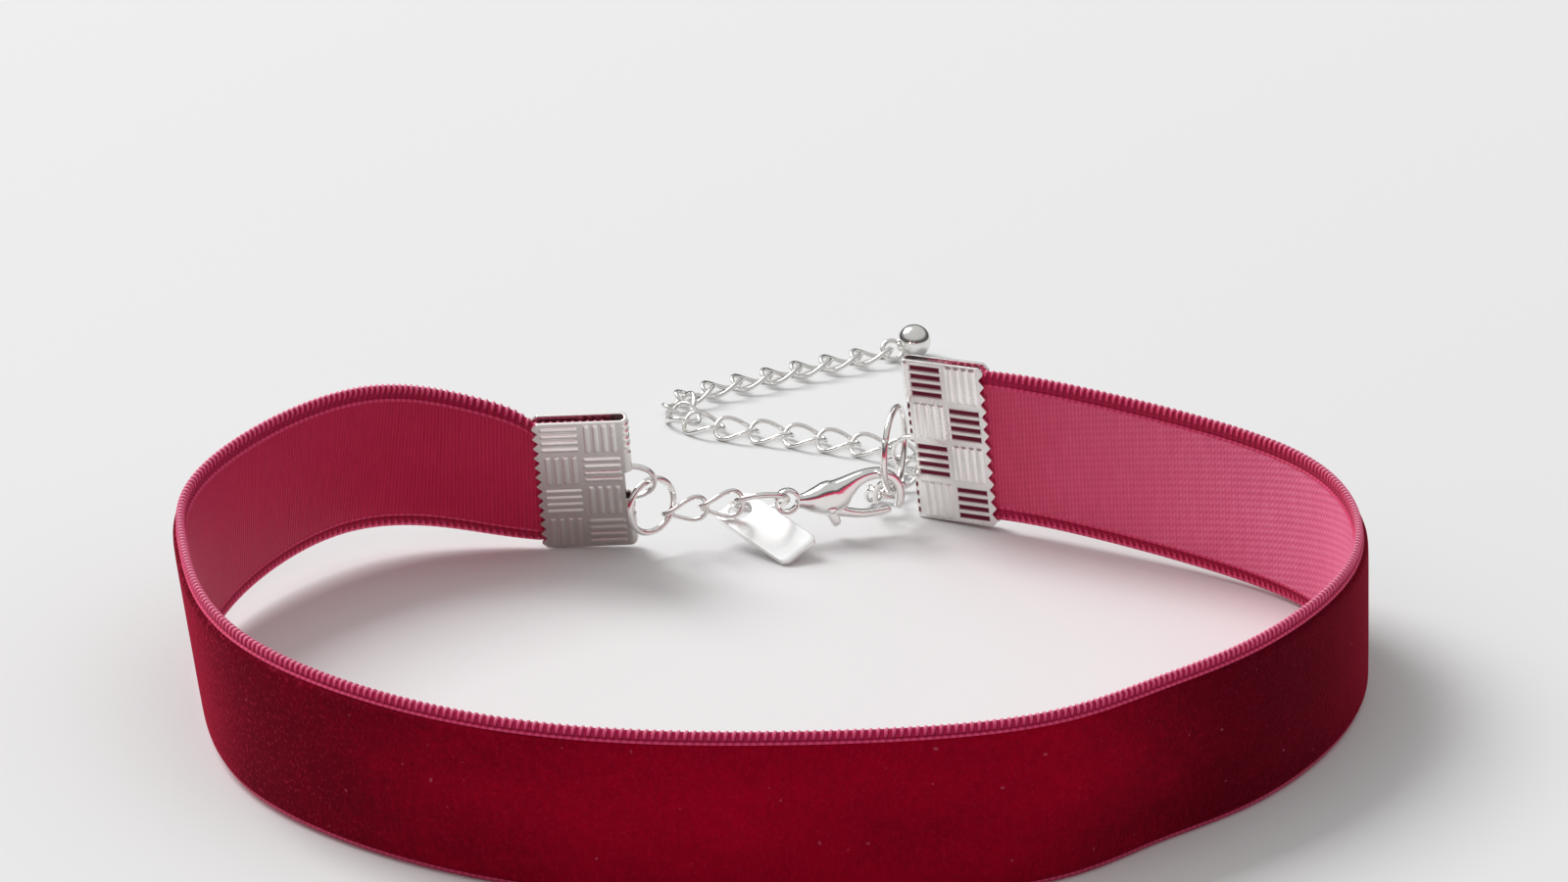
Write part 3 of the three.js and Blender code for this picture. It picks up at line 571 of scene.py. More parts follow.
def velvet_pile():
    """Short dense pile with painted light: painted lighter across the front and darker at both turns,
    with painted glints mostly at the left turn, and a soft sheen where it turns away."""
    finish = Finish("velvet_pile", roughness=0.9, sheen_weight=0.5, sheen_roughness=0.3,
                    sheen_tint=(1.0, 0.02, 0.1), specular_ior_level=0.05)
    cloth = finish.note("cloth")
    along = finish.parts(cloth)[0]
    stroke = finish.noise(finish.scaled(cloth, 1, 2.2, 1), 38.0, 3.0, 0.55)
    tufts = finish.noise(finish.scaled(cloth, 1, 0.55, 1), 4200.0, 2.0, 0.6)
    grain = finish.noise(finish.scaled(cloth, 1, 0.7, 1), 1500.0, 2.0, 0.7)
    lint = finish.noise(cloth, 1150.0, 1.0, 0.4).above(0.755, 0.8)
    # Painted light: the pile across the front is painted lighter, which leaves both turns darker.
    lit_front = along.above(0.088, 0.125) * (1 - along.above(0.168, 0.19))
    shade = (stroke.above(0.3, 0.72) * 0.26 + lit_front * 0.42 + 0.04 + grain.above(0.3, 0.75) * 0.14
             + tufts.above(0.3, 0.75) * 0.14)
    colour = finish.shades(shade, [
        (0.0, (0.045, 0.0, 0.004)),
        (0.4, (0.15, 0.0, 0.009)),
        (1.0, (0.5, 0.0, 0.022)),
    ])
    # Painted highlights: small light glints painted into the pile, most of them at the left turn.
    at_turn = 1 - along.above(0.075, 0.105)
    pile_glints = finish.noise(finish.scaled(cloth, 1, 0.8, 1), 3000.0, 1.0, 0.5).above(0.56, 0.72)
    colour = finish.mix(pile_glints * (0.1 + at_turn * 0.42), colour, (0.6, 0.03, 0.1))
    colour = finish.mix(lint * 0.4, colour, (0.6, 0.12, 0.2))
    height = tufts * 0.6 + grain * 0.4
    return finish.set(base_color=colour, normal=finish.bump(height, 0.00025, 0.6))


def satin_back():
    """Woven back: fine upright ribs crossed by a short twill, glossier than the pile, and paler where
    its right half faces the light."""
    finish = Finish("satin_back", sheen_weight=0.3, sheen_roughness=0.35, sheen_tint=(1.0, 0.35, 0.5),
                    specular_ior_level=0.22)
    cloth = finish.note("cloth")
    along, up, _ = finish.parts(cloth)
    ribs = wave(along, RIB_PITCH)
    twill = wave(along + up * TWILL_SLOPE, TWILL_PITCH)
    threads = finish.noise(finish.scaled(cloth, 1, 0.15, 1), 2600.0, 2.0, 0.6)
    cloud = finish.noise(cloth, 90.0, 2.0, 0.5)
    right = along.above(0.19, 0.235) * (1 - along.above(0.25, 0.284) * 0.75)
    weft = wave(up + along * (WEFT_PITCH / WEFT_DRIFT), WEFT_PITCH)
    height = ribs * (0.8 - right * 0.6) + (twill * 0.4 + weft * 0.6) * (right * 0.8)
    shade = height * 0.45 + threads * 0.35 + cloud * 0.2
    deep = finish.shades(shade, [
        (0.0, (0.4, 0.004, 0.042)),
        (0.5, (0.62, 0.014, 0.088)),
        (1.0, (0.84, 0.036, 0.15)),
    ])
    pale = finish.shades(shade, [
        (0.0, (0.62, 0.07, 0.17)),
        (0.5, (0.92, 0.17, 0.33)),
        (1.0, (1.0, 0.42, 0.6)),
    ])
    return finish.set(base_color=finish.mix(right, deep, pale), roughness=0.38 + threads * 0.2,
                      normal=finish.bump(height, 0.00008, 0.75))


def edge_weave():
    """The flat border between the loops and the stitched line, finely ribbed; the line is brightest."""
    finish = Finish("edge_weave", roughness=0.6, sheen_weight=0.3, sheen_roughness=0.4,
                    sheen_tint=(1.0, 0.3, 0.45), specular_ior_level=0.2)
    cloth = finish.note("cloth")
    along, up, through = finish.parts(cloth)
    ribs = wave(along, EDGE_LOOP_PITCH)
    threads = finish.noise(cloth, 3000.0, 2.0, 0.6)
    from_middle = up.maths("ABSOLUTE", up - RIBBON_WIDTH * MM / 2)
    foot = 1 - up.above(0.38 * MM, 0.44 * MM)
    lower = through.above(0.0, 0.05 * MM) * (0.44 * MM)
    line = (1 - (from_middle + lower).above(7.12 * MM, 7.2 * MM) + foot).clamped()
    shade = ribs * 0.25 + threads * 0.25 + line * 0.5
    colour = finish.shades(shade, [
        (0.0, (0.26, 0.002, 0.03)),
        (0.5, (0.56, 0.012, 0.085)),
        (1.0, (0.92, 0.11, 0.26)),
    ])
    return finish.set(base_color=colour, normal=finish.bump(shade, 0.00008, 0.6))


def loop_thread():
    """The lustrous thread of the edge loops, with painted highlights on its crowns."""
    finish = Finish("loop_thread", roughness=0.42, sheen_weight=0.3, sheen_roughness=0.4,
                    sheen_tint=(1.0, 0.5, 0.6), specular_ior_level=0.35)
    # Painted highlight: the crown note is 1 at a loop's top, and makes the thread lighter there.
    crown = finish.note("crown", output="Fac")
    place = finish.node("ShaderNodeTexCoord", output="Object")
    fibres = finish.noise(place, 5200.0, 2.0, 0.6)
    shade = crown * 0.75 + fibres * 0.35
    colour = finish.shades(shade, [
        (0.0, (0.6, 0.012, 0.09)),
        (0.5, (0.92, 0.09, 0.25)),
        (1.0, (1.0, 0.36, 0.52)),
    ])
    return finish.set(base_color=colour, normal=finish.bump(fibres, 0.00006, 0.5))


def silver(name, colour, roughness, wear=0.06):
    """Bright plated metal with faint cloudiness and hairlines."""
    finish = Finish(name, metallic=1.0)
    place = finish.node("ShaderNodeTexCoord", output="Object")
    cloud = finish.noise(place, 420.0, 3.0, 0.55)
    hairs = finish.noise(finish.scaled(place, 1, 1, 9), 1500.0, 2.0, 0.6)
    dull = tuple(0.78 * c for c in colour)
    tone = finish.mix(cloud.above(0.35, 0.7) * 0.5, colour, dull)
    rough = roughness + cloud * wear + hairs * wear
    return finish.set(base_color=tone, roughness=rough, normal=finish.bump(hairs, 0.00001, 0.35))


def stamped_metal(name, colour, foot, dark):
    """The crimps' satin plating with painted light: one colour at the top and a darker one painted at the
    foot as shade, and painted shade between the bars, a dark red painted reflection in the right crimp's
    sunk bars.
    """
    finish = Finish(name, metallic=1.0)
    place = finish.node("ShaderNodeTexCoord", output="Object")
    cloud = finish.noise(place, 300.0, 3.0, 0.55)
    hairs = finish.noise(finish.scaled(place, 1, 1, 6), 1800.0, 2.0, 0.6)
    stain = finish.note("stain", output="Fac")
    tall = finish.note("tall", output="Fac")
    # Painted shade: the colour darkens towards the foot, by the tall note from top to bottom.
    tone = finish.mix(tall.above(0.1, 0.8), foot, colour)
    tone = finish.mix(cloud.above(0.35, 0.7) * 0.3, tone, tuple(0.7 * c for c in colour))
    # Painted shade and reflection: darker between the bars, and in the right crimp's sunk bars a dark red
    # painted reflection of the ribbon.
    tone = finish.mix(stain, tone, dark)
    rough = 0.2 + cloud * 0.1 + hairs * 0.08 + stain * 0.2
    return finish.set(base_color=tone, roughness=rough, normal=finish.bump(hairs, 0.00001, 0.4))


def table_finish():
    """Smooth pale grey table."""
    finish = Finish("table_finish", roughness=0.75, specular_ior_level=0.2)
    place = finish.node("ShaderNodeTexCoord", output="Object")
    cloud = finish.noise(place, 3.0, 2.0, 0.5)
    return finish.set(base_color=finish.mix(cloud, (0.79, 0.79, 0.79), (0.81, 0.81, 0.812)))


PILE = velvet_pile()
SATIN = satin_back()
EDGE = edge_weave()
THREAD = loop_thread()
WIRE_SILVER = silver("wire_silver", (0.9, 0.885, 0.86), 0.12)
CLASP_SILVER = silver("clasp_silver", (0.92, 0.91, 0.89), 0.07, 0.04)
TAG_SILVER = silver("tag_silver", (0.99, 0.99, 0.985), 0.3, 0.02)
# Left crimp: painted shade at the foot and between the bars. Right crimp: a slightly darker foot, and a
# dark red painted reflection of the ribbon in its sunk bars.
LEFT_STAMPED = stamped_metal("left_stamped", (1.0, 0.98, 0.95), (0.62, 0.57, 0.54), (0.42, 0.37, 0.35))
RIGHT_STAMPED = stamped_metal("right_stamped", (0.95, 0.94, 0.92), (0.92, 0.9, 0.88),
                              (0.16, 0.02, 0.04))


# Ribbon

def spline_read(rows, u):
    """A uniform cubic B-spline that starts and ends on its outer rows: at place f between two rows, the
    four nearest rows are weighed by (1-f)^3, 3f^3-6f^2+4, 3g^3-6g^2+4 and f^3 over 6, with g = 1-f."""
    last = len(rows) - 1
    padded = np.vstack([2 * rows[0] - rows[1], rows, 2 * rows[-1] - rows[-2]])
    place = np.clip(u * last, 0, last - 1e-9)
    i = place.astype(int)
    f = (place - i)[:, None]
    g = 1 - f
    weights = [g ** 3, 3 * f ** 3 - 6 * f ** 2 + 4, 3 * g ** 3 - 6 * g ** 2 + 4, f ** 3]
    return sum(w * padded[i + k] for k, w in enumerate(weights)) / 6


def tipped(start, towards, degrees):
    """Directions turned from start towards another one by some degrees."""
    angle = np.radians(degrees)[..., None]
    return start * np.cos(angle) + towards * np.sin(angle)


class Run:
    """The ribbon's lower edge from inside the left crimp round the front into the right crimp."""

    def __init__(self):
        ends = []
        for place, lean, turn in ((left_place, LEFT_LEAN, 1), (right_place, RIGHT_LEAN, -1)):
            along = place.axes[0]
            inward = unit(np.cross(along, UP)) * turn
            up = tipped(UP, inward, np.array(lean))
            mouth = place.origin - up * RIBBON_WIDTH / 2
            ends.append((mouth - to_model, along, lean))
        (left, left_along, left_lean), (right, right_along, right_lean) = ends
        middle = [[r["across"] * LOOP_WIDTH, r["back"] * LOOP_DEPTH, r["lift"] * RIBBON_WIDTH, r["lean"]]
                  for r in RIBBON_RUN]
        rows = np.array([
            [*left, left_lean],
            [*(left - left_along * LEFT_LEAD + UP * LEFT_LEAD_RISE), LEFT_LEAD_LEAN],
            *middle,
            [*(right - right_along * RIGHT_LEAD), right_lean],
            [*right, right_lean],
        ])
        fine = spline_read(rows, np.linspace(0, 1, 4000))
        steps = np.linalg.norm(np.diff(fine[:, :3], axis=0), axis=1)
        self.fine = fine
        self.length = np.concatenate([[0], np.cumsum(steps)])
        self.open_length = self.length[-1]
        self.ends = (left_along, right_along)

    def read(self, s):
        """Points, the three directions and the share that the pile is pressed, at lengths s from the
        left mouth. Outside the mouths the ribbon runs straight on into the crimps."""
        held = np.clip(s, 0, self.open_length)
        row = np.stack([np.interp(held, self.length, self.fine[:, k]) for k in range(4)], -1)
        step = 0.2
        ahead, behind = (
            np.stack([np.interp(np.clip(held + d, 0, self.open_length), self.length, self.fine[:, k])
                      for k in range(2)], -1) for d in (step, -step))
        travel = np.concatenate([ahead - behind, np.zeros((len(s), 1))], -1)
        travel = unit(travel)
        inward = np.cross(UP, travel)
        up = tipped(UP, inward, row[:, 3])
        across = tipped(inward, UP, -row[:, 3])
        points = row[:, :3] + to_model
        points = points + np.maximum(-s, 0)[:, None] * self.ends[0]
        points = points + np.maximum(s - self.open_length, 0)[:, None] * self.ends[1]
        from_mouth = np.minimum(s, self.open_length - s)
        share = np.clip((from_mouth - PRESSED_START) / (PRESSED_STRETCH - PRESSED_START), 0, 1)
        pressed = 1 - share * share * (3 - 2 * share)
        return points, travel, across, up, pressed


run = Run()


def ribbon_cloth():
    """The cloth itself: its closed section, satin inside and pile outside, carried along the run. Near
    the foot the pile swells to its full depth as 1 less an exponential of the height. Where the
    ribbon is pressed, every depth is drawn back to the pressed one."""
    low = np.array([[r["height"], r["satin"], r["pile"]] for r in CLOTH_FACES])
    high = low[-2::-1] * [-1, 1, 1] + [RIBBON_WIDTH, 0, 0]
    face = np.vstack([low, high])
    heights = np.concatenate([face[:, 0], face[::-1, 0]])
    outer = face[:, 2].copy()
    foot = (face[:, 0] > FOOT_PILE) & (face[:, 0] < FOOT_SWELL["up_to"])
    fade = np.exp(-(face[foot, 0] - FOOT_PILE) / FOOT_SWELL["over"])
    outer[foot] = np.maximum(outer[foot], FOOT_SWELL["full"] - FOOT_SWELL["less"] * fade)
    outer[1] = FOOT_EDGE
    depths = np.concatenate([face[:, 1], -outer[::-1]])
    s = np.linspace(-RIBBON_INSERT, run.open_length + RIBBON_INSERT,
                    int((run.open_length + 2 * RIBBON_INSERT) / RIBBON_STEP))
    points, _, across, up, pressed = run.read(s)
    flat = np.sign(depths) * np.minimum(np.abs(depths), PRESSED_HALF)
    depth = depths + (flat - depths) * pressed[:, None]
    grid = points[:, None] + depth[..., None] * across[:, None] + heights[None, :, None] * up[:, None]
    cloth = np.stack(np.broadcast_arrays(s[:, None], heights[None], depth), -1) * MM
    half = len(face)
    middle = (heights + np.roll(heights, -1)) / 2
    inside = np.arange(2 * half) < half
    low_edge = np.where(inside, SATIN_EDGE, FOOT_PILE)
    high_edge = RIBBON_WIDTH - np.where(inside, SATIN_EDGE, PILE_EDGE)
    on_edge = (middle < low_edge) | (middle > high_edge)
    paint = np.where(on_edge, 2, np.where(np.arange(2 * half) < half, 0, 1))
    skin = Skin().add(grid, paint=paint[None], cloth=cloth)
    made = skin.piece("ribbon_cloth", [SATIN, PILE, EDGE], "choker", "velvet", "ribbon")
    return made, (s[-1] - s[0])


def edge_loops(name, upper):
    """The binding thread. With t from -1 to 1, each loop leans along the ribbon by its slant times t,
    bends over the edge as half a circle, cos and sin of t over its bend, and ends in a straight leg."""
    margin = RIBBON_INSERT - 1
    s = np.arange(-margin, run.open_length + margin, EDGE_LOOP_PITCH)
    t = np.linspace(-1, 1, 9)
    bend = np.clip(t / EDGE_LOOP_BEND, -1, 1)
    n = EDGE_LOOP_HALF * np.sin(bend * np.pi / 2)
    crown = EDGE_LOOP_HALF * np.cos(bend * np.pi / 2)
    outer_leg = EDGE_LOOP_LEG if upper else FOOT_LEG
    leg = np.maximum(np.abs(t) - EDGE_LOOP_BEND, 0) / (1 - EDGE_LOOP_BEND)
    leg = leg * np.where(t < 0, outer_leg, EDGE_LOOP_LEG)
    reach = crown - leg - EDGE_LOOP_HALF
    shift = t * EDGE_LOOP_SLANT
    points, travel, across, up, pressed = run.read(s)
    narrow = 1 - pressed * PRESSED_LOOP_LOSS
    if upper:
        base, rise = points + up * (RIBBON_WIDTH + UPPER_LOOP_RISE), up
    else:
        base, rise = points + up * EDGE_LOOP_THREAD * FOOT_LOOP_SEAT, -up
    centre = (base[:, None] + (n[None] * narrow[:, None])[..., None] * across[:, None]
              + reach[None, :, None] * rise[:, None] + shift[None, :, None] * travel[:, None])
    tangent = unit(np.gradient(centre, axis=1))
    side = travel[:, None] - (travel[:, None] * tangent).sum(-1, keepdims=True) * tangent
    side = unit(side)
    other = np.cross(tangent, side)
    wide = 1 - EDGE_LOOP_TAPER * np.abs(t) ** 4
    ring = circle(6) * EDGE_LOOP_THREAD
    offset = (ring[None, None, :, 0, None] * EDGE_LOOP_SWELL * side[:, :, None]
              + ring[None, None, :, 1, None] * other[:, :, None])
    grid = centre[:, :, None] + offset * wide[None, :, None, None]
    skin = Skin()
    # Painted highlight: light is 1 on each loop's crown and 0 at its legs, and the thread finish lightens
    # its colour by it.
    light = np.broadcast_to((1 - np.abs(t))[:, None], (len(t), 6))
    for loop in grid:
        skin.add(loop, crown=light)
    return skin.piece(name, [THREAD], "choker", "velvet")


cloth, cut_length = ribbon_cloth()
upper_loops = edge_loops("upper_edge_loops", True)
lower_loops = edge_loops("lower_edge_loops", False)


# Crimps

def tooth_line(z):
    """The mouth's zigzag: 0 at the middle of each pitch, a tooth's length between two teeth."""
    share = (z / CRIMP_HEIGHT + 0.5) * TOOTH_COUNT
    return TOOTH_LENGTH * np.abs(2 * (share - np.floor(share)) - 1)


def box_mask(value, middle, half, slope):
    """1 within half of the middle, 0 outside, with an even slope between."""
    return np.clip((half - np.abs(value - middle)) / slope + 0.5, 0, 1)


def stamp(x, z, first, bar_share):
    """Height and level share of the stamped bars: blocks of four, level and upright in turn."""
    row_pitch = CRIMP_HEIGHT / STAMP_ROWS
    column_pitch = (CRIMP_DEPTH - FOLD_RADIUS - TOOTH_LENGTH) / 2
    width, height = column_pitch * BLOCK_SHARE, row_pitch * BLOCK_SHARE
    rise = np.zeros_like(x)
    level_bars = np.zeros_like(x)
    for column in range(STAMP_COLUMNS):
        for row in range(STAMP_ROWS):
            cx = TOOTH_LENGTH + (column + 0.5) * column_pitch
            cz = CRIMP_HEIGHT / 2 - (row + 0.5) * row_pitch
            level = (row + column + first) % 2 == 0
            value, other = (z - cz, x - cx) if level else (x - cx, z - cz)
            long_side, short_side = (width, height) if level else (height, width)
            pitch = short_side / STAMP_BARS
            for bar in range(STAMP_BARS):
                off = (bar - (STAMP_BARS - 1) / 2) * pitch
                shape = box_mask(value, off, pitch * bar_share / 2, STAMP_SLOPE)
                shape = shape * box_mask(other, 0, long_side / 2, STAMP_SLOPE)
                rise = np.maximum(rise, shape)
                if level:
                    level_bars = np.maximum(level_bars, shape)
    return rise, level_bars


def crimp_shell(name, node, place, finish, strip, first, sunk):
    """One bent sheet: from the mouth along its -y side, round the fold as cos and sin of half a turn,
    and back along its +y side, lifted along its normal by the stamped bars, with a slot in the fold
    where the strip was pushed out. The strip is half an ellipse of x and z with a rounded section."""
    radius = FOLD_RADIUS - SHEET / 2
    bend = CRIMP_DEPTH - FOLD_RADIUS
    z = np.linspace(-CRIMP_HEIGHT / 2, CRIMP_HEIGHT / 2, int(CRIMP_HEIGHT / CRIMP_GRAIN) + 1)
    teeth = np.linspace(0, 1, 9)[:-1]
    straight = np.linspace(TOOTH_ROOT, bend, int((bend - TOOTH_ROOT) / CRIMP_GRAIN))
    start = tooth_line(z)
    mouth = start[None] + (TOOTH_ROOT - start[None]) * teeth[:, None]
    side_x = np.vstack([mouth, np.broadcast_to(straight[:, None], (len(straight), len(z)))])
    turn = np.linspace(-np.pi / 2, np.pi / 2, 24)[1:-1]
    flat = np.ones_like(side_x)

    def round_fold(first, bent, last):
        return np.vstack([first, np.broadcast_to(bent[:, None], (len(turn), len(z))), last])

    x = round_fold(side_x, bend + radius * np.cos(turn), side_x[::-1])
    y = round_fold(-flat * radius, radius * np.sin(turn), flat * radius)
    normal_x = round_fold(flat * 0, np.cos(turn), flat * 0)
    normal_y = round_fold(-flat, np.sin(turn), flat)
    reach = round_fold(side_x, bend + radius * (turn + np.pi / 2), side_x[::-1])
    height = np.broadcast_to(z[None], x.shape)
    rise, level_bars = stamp(reach, height, first, RIGHT_BAR_SHARE if sunk else LEFT_BAR_SHARE)
    relief = rise * STAMP_RISE
    if sunk:
        relief = relief - level_bars * STAMP_RISE * SUNK_SHARE
    grid = np.stack([x + normal_x * relief, y + normal_y * relief, height], -1)
    notch = STRIP_HEIGHT / 2 - STRIP_THICKNESS
    middle_x = (x[:-1, :-1] + x[1:, :-1]) / 2
    middle_z = (z[1:] + z[:-1]) / 2
    slot = (middle_x > bend) & (np.abs(middle_z[None] - strip) < notch)
    # Painted shade between the left crimp's bars, and a painted reflection of the red ribbon in the right
    # crimp's sunk level bars.
    stain = level_bars if sunk else np.clip(1 - rise, 0, 1) * SHADE_BETWEEN_BARS
    tall = height / CRIMP_HEIGHT + 0.5
    skin = Skin().add(place.at(grid), wrap_columns=False, keep=~slot, outward=True,
                     stain=stain, tall=tall)
    made = skin.piece(name, [finish], "choker", "stamped_metal", node)
    wall = made.modifiers.new("sheet", "SOLIDIFY")
    wall.thickness = SHEET * MM
    wall.offset = 0
    wall.use_rim = True
    rim = made.modifiers.new("rim", "BEVEL")
    rim.width = CRIMP_RIM * MM
    rim.segments = 2
    rim.limit_method = "ANGLE"
    rim.angle_limit = math.radians(CRIMP_RIM_ANGLE)
    rim.harden_normals = False

    angle = np.linspace(-np.pi / 2, np.pi / 2, 41)
    root = CRIMP_DEPTH - SHEET
    out = STRIP_REACH + SHEET - STRIP_THICKNESS / 2
    half = STRIP_HEIGHT / 2 - STRIP_THICKNESS / 2
    path = hoop(angle, out, half) + [root, 0, strip]
    section = cushion_section(20, 0.6) * [STRIP_WIDTH / 2, STRIP_THICKNESS / 2]
    loop = sweep(path, ACROSS, section[None])
    plain = np.zeros(loop.shape[:2])
    band = Skin().add(place.at(loop), stain=plain, tall=plain + 0.7)
    band.piece(name.replace("shell", "strip"), [finish], "choker", "stamped_metal", node)
    return made


crimp_shell("left_crimp_shell", "left_crimp", left_place, LEFT_STAMPED, LEFT_STRIP, 0, False)
crimp_shell("right_crimp_shell", "right_crimp", right_place, RIGHT_STAMPED, RIGHT_STRIP, 1, True)


# Rings, links and ball

def ring_wire(node, size):
    """A jump ring: a round wire carried round a circle, with a hair's gap where it was closed."""
    middle, axes = main_axes(corners(node))
    place = Place(middle, axes[0], -axes[2], axes[1])
    up_x, up_z = UP @ place.axes[0], UP @ place.axes[2]
    start = math.atan2(up_z, up_x) + math.radians(size["cut"])
    gap = 0.05 / size["across"]
    angle = start + np.linspace(gap, 2 * np.pi - gap, 121)
    radius = (size["across"] - size["wire"]) / 2
    grid = wire(hoop(angle, radius, radius), size["wire"], 20, closed=False)
    return Skin().add(place.at(grid)).piece(f"{node}_wire", [WIRE_SILVER], "choker", "silver_metal", node)


def link_wire(node):
    """A twisted oval link: x = a cos t, z = b sin t, and y = twist times sin 2t."""
    middle, axes = main_axes(corners(node))
    place = Place(middle, axes[0], -axes[2], axes[1])
    t = 2 * np.pi * np.arange(72) / 72
    a, b = (LINK_LENGTH - LINK_WIRE) / 2, (LINK_WIDTH - LINK_WIRE) / 2
    grid = wire(hoop(t, a, b, LINK_TWIST * np.sin(2 * t)), LINK_WIRE, 14)
    skin = Skin().add(place.at(grid), wrap_rows=True)
    return skin.piece(f"{node}_wire", [WIRE_SILVER], "choker", "silver_metal", node)


for ring_name, ring_size in RINGS.items():
    ring_wire(ring_name, ring_size)
for link_name in ["small_link_1", "small_link_2", *(f"chain_link_{i + 1:02d}" for i in range(CHAIN_LINKS))]:
    link_wire(link_name)


def ball_place():
    """The ball's frame: x from its wire eye to the ball, z in the eye's plane, origin in the ball."""
    points = corners("end_ball")
    middle, axes = main_axes(points)
    x = axes[0]
    ends = points @ x
    wide = []
    for end in (ends.min(), ends.max()):
        near = points[np.abs(ends - end) < BALL_DIAMETER * 0.3]
        wide.append(np.linalg.norm(near - near.mean(0), axis=1).max())
    if wide[0] > wide[1]:
        x = -x
    ends = points @ x
    centre = middle + (ends.max() - BALL_DIAMETER / 2 - middle @ x) * x
    eye = points[np.linalg.norm(points - centre, axis=1) > BALL_DIAMETER * 0.52]
    normal = main_axes(eye)[1][2]
    y = unit(normal - (normal @ x) * x)
    return Place(centre, x, y, np.cross(x, y))


def end_ball():
    """A turned ball, radius times cos and sin of the polar angle, with a short neck, and the round wire
    eye that holds it."""
    place = ball_place()
    radius = BALL_DIAMETER / 2
    polar = np.linspace(0, np.pi, 40)[1:-1]
    x, r = radius * np.cos(polar), radius * np.sin(polar)
    neck = np.array([[-radius * row["out"], row["radius"]] for row in BALL_NECK])
    keep = ~((x < 0) & (r < BALL_OPENING))
    x, r = np.concatenate([x[keep], neck[:, 0]]), np.concatenate([r[keep], neck[:, 1]])
    ball = turned(x, r, 48)
    angle = 2 * np.pi * np.arange(64) / 64
    size = (BALL_EYE["across"] - BALL_EYE["wire"]) / 2
    centre = -(radius + BALL_EYE["across"] / 2 - BALL_EYE["wire"])
    eye = wire(hoop(angle, size, size) + [centre, 0, 0], BALL_EYE["wire"], 16)
    skin = Skin().add(place.at(ball)).add(place.at(eye), wrap_rows=True)
    return skin.piece("ball_and_eye", [WIRE_SILVER], "choker", "silver_metal", "end_ball")


end_ball()


# Tag

def tag_place():
    """The tag's frame: x from its hole to the far end, y through its face, origin in the hole."""
    points = corners("tag")
    middle, axes = main_axes(points)
    x, z, y = axes[0], axes[1], -axes[2]
    box_middle = (points @ x).max() / 2 + (points @ x).min() / 2
    if box_middle < middle @ x:
        x, z = -x, -z
    spans = [points @ axis for axis in (x, y, z)]
    origin = (spans[0].min() + TAG_HOLE_INSET) * x
    origin = origin + (spans[1].max() + spans[1].min()) / 2 * y + (spans[2].max() + spans[2].min()) / 2 * z
    return Place(origin, x, y, z)


def tag_plate():
    """A flat plate as a ring of sections round its hole: each runs from the hole's edge over the top,
    round the outer edge and back below. The outer edge is a rectangle with arcs at its corners, and
    the plate bows by half a wave of sin over its length."""
    steps = 48
    x0, x1 = -TAG_HOLE_INSET + TAG_CORNER, TAG_LENGTH - TAG_HOLE_INSET - TAG_CORNER
    z1 = TAG_WIDTH / 2 - TAG_CORNER
    pieces = []
    for cx, cz, first in ((x1, z1, 0), (x0, z1, 90), (x0, -z1, 180), (x1, -z1, 270)):
        angle = np.radians(first + np.linspace(0, 90, steps // 4))
        pieces.append(np.stack([cx + TAG_CORNER * np.cos(angle), cz + TAG_CORNER * np.sin(angle)], -1))
    outline = np.vstack(pieces + [pieces[0][:1]])
    length = np.concatenate([[0], np.cumsum(np.linalg.norm(np.diff(outline, axis=0), axis=1))])
    extra = np.linspace(0, length[-1], 160)[:-1]
    even = np.unique(np.round(np.concatenate([length[:-1], extra]), 4))
    edge = np.stack([np.interp(even, length, outline[:, k]) for k in range(2)], -1)
    hole = unit(edge) * TAG_HOLE / 2
    half, soft = TAG_THICKNESS / 2, TAG_SOFT_EDGE
    share = np.concatenate([np.linspace(0, 1, 14), np.linspace(1, 0, 14)])
    lift = np.concatenate([np.full(14, half), np.full(14, -half)])
    face = hole[:, None] + (edge - hole)[:, None] * share[None, :, None]
    outward = unit(edge - hole)
    face = face + outward[:, None] * (soft * (share == 0) - soft * (share == 1.0))[None, :, None]
    flat = np.stack([face[..., 0], np.broadcast_to(lift, face.shape[:2]), face[..., 1]], -1)

    def rounded(base, way):
        """Seven points round a soft edge: cos goes outwards by the way's sign, sin up or down."""
        turn = np.radians(np.linspace(90, -90, 9)[1:-1] * way)
        rise = np.sign(np.sin(turn)) * (half - soft) + soft * np.sin(turn)
        points = base[:, None] + way * outward[:, None] * (soft * np.cos(turn))[None, :, None]
        return np.stack([points[..., 0], np.broadcast_to(rise, points.shape[:2]), points[..., 1]], -1)

    outer = rounded(edge - outward * soft, 1)
    inner = rounded(hole + outward * soft, -1)
    grid = np.concatenate([flat[:, :14], outer, flat[:, 14:], inner], 1)
    grid[..., 1] += TAG_BOW * np.sin((grid[..., 0] + TAG_HOLE_INSET) / TAG_LENGTH * np.pi)
    skin = Skin().add(tag_place().at(grid), wrap_rows=True)
    return skin.piece("tag_plate", [TAG_SILVER], "choker", "silver_metal", "tag")


tag_plate()


# Clasp

def share_line(rows, steps):
    """A line of x, z, width and thickness; x, z and width are shares of the clasp's length."""
    scale = [CLASP_LENGTH, CLASP_LENGTH, CLASP_LENGTH, 1]
    return smooth_line([[v * k for v, k in zip(row, scale)] for row in rows], steps)


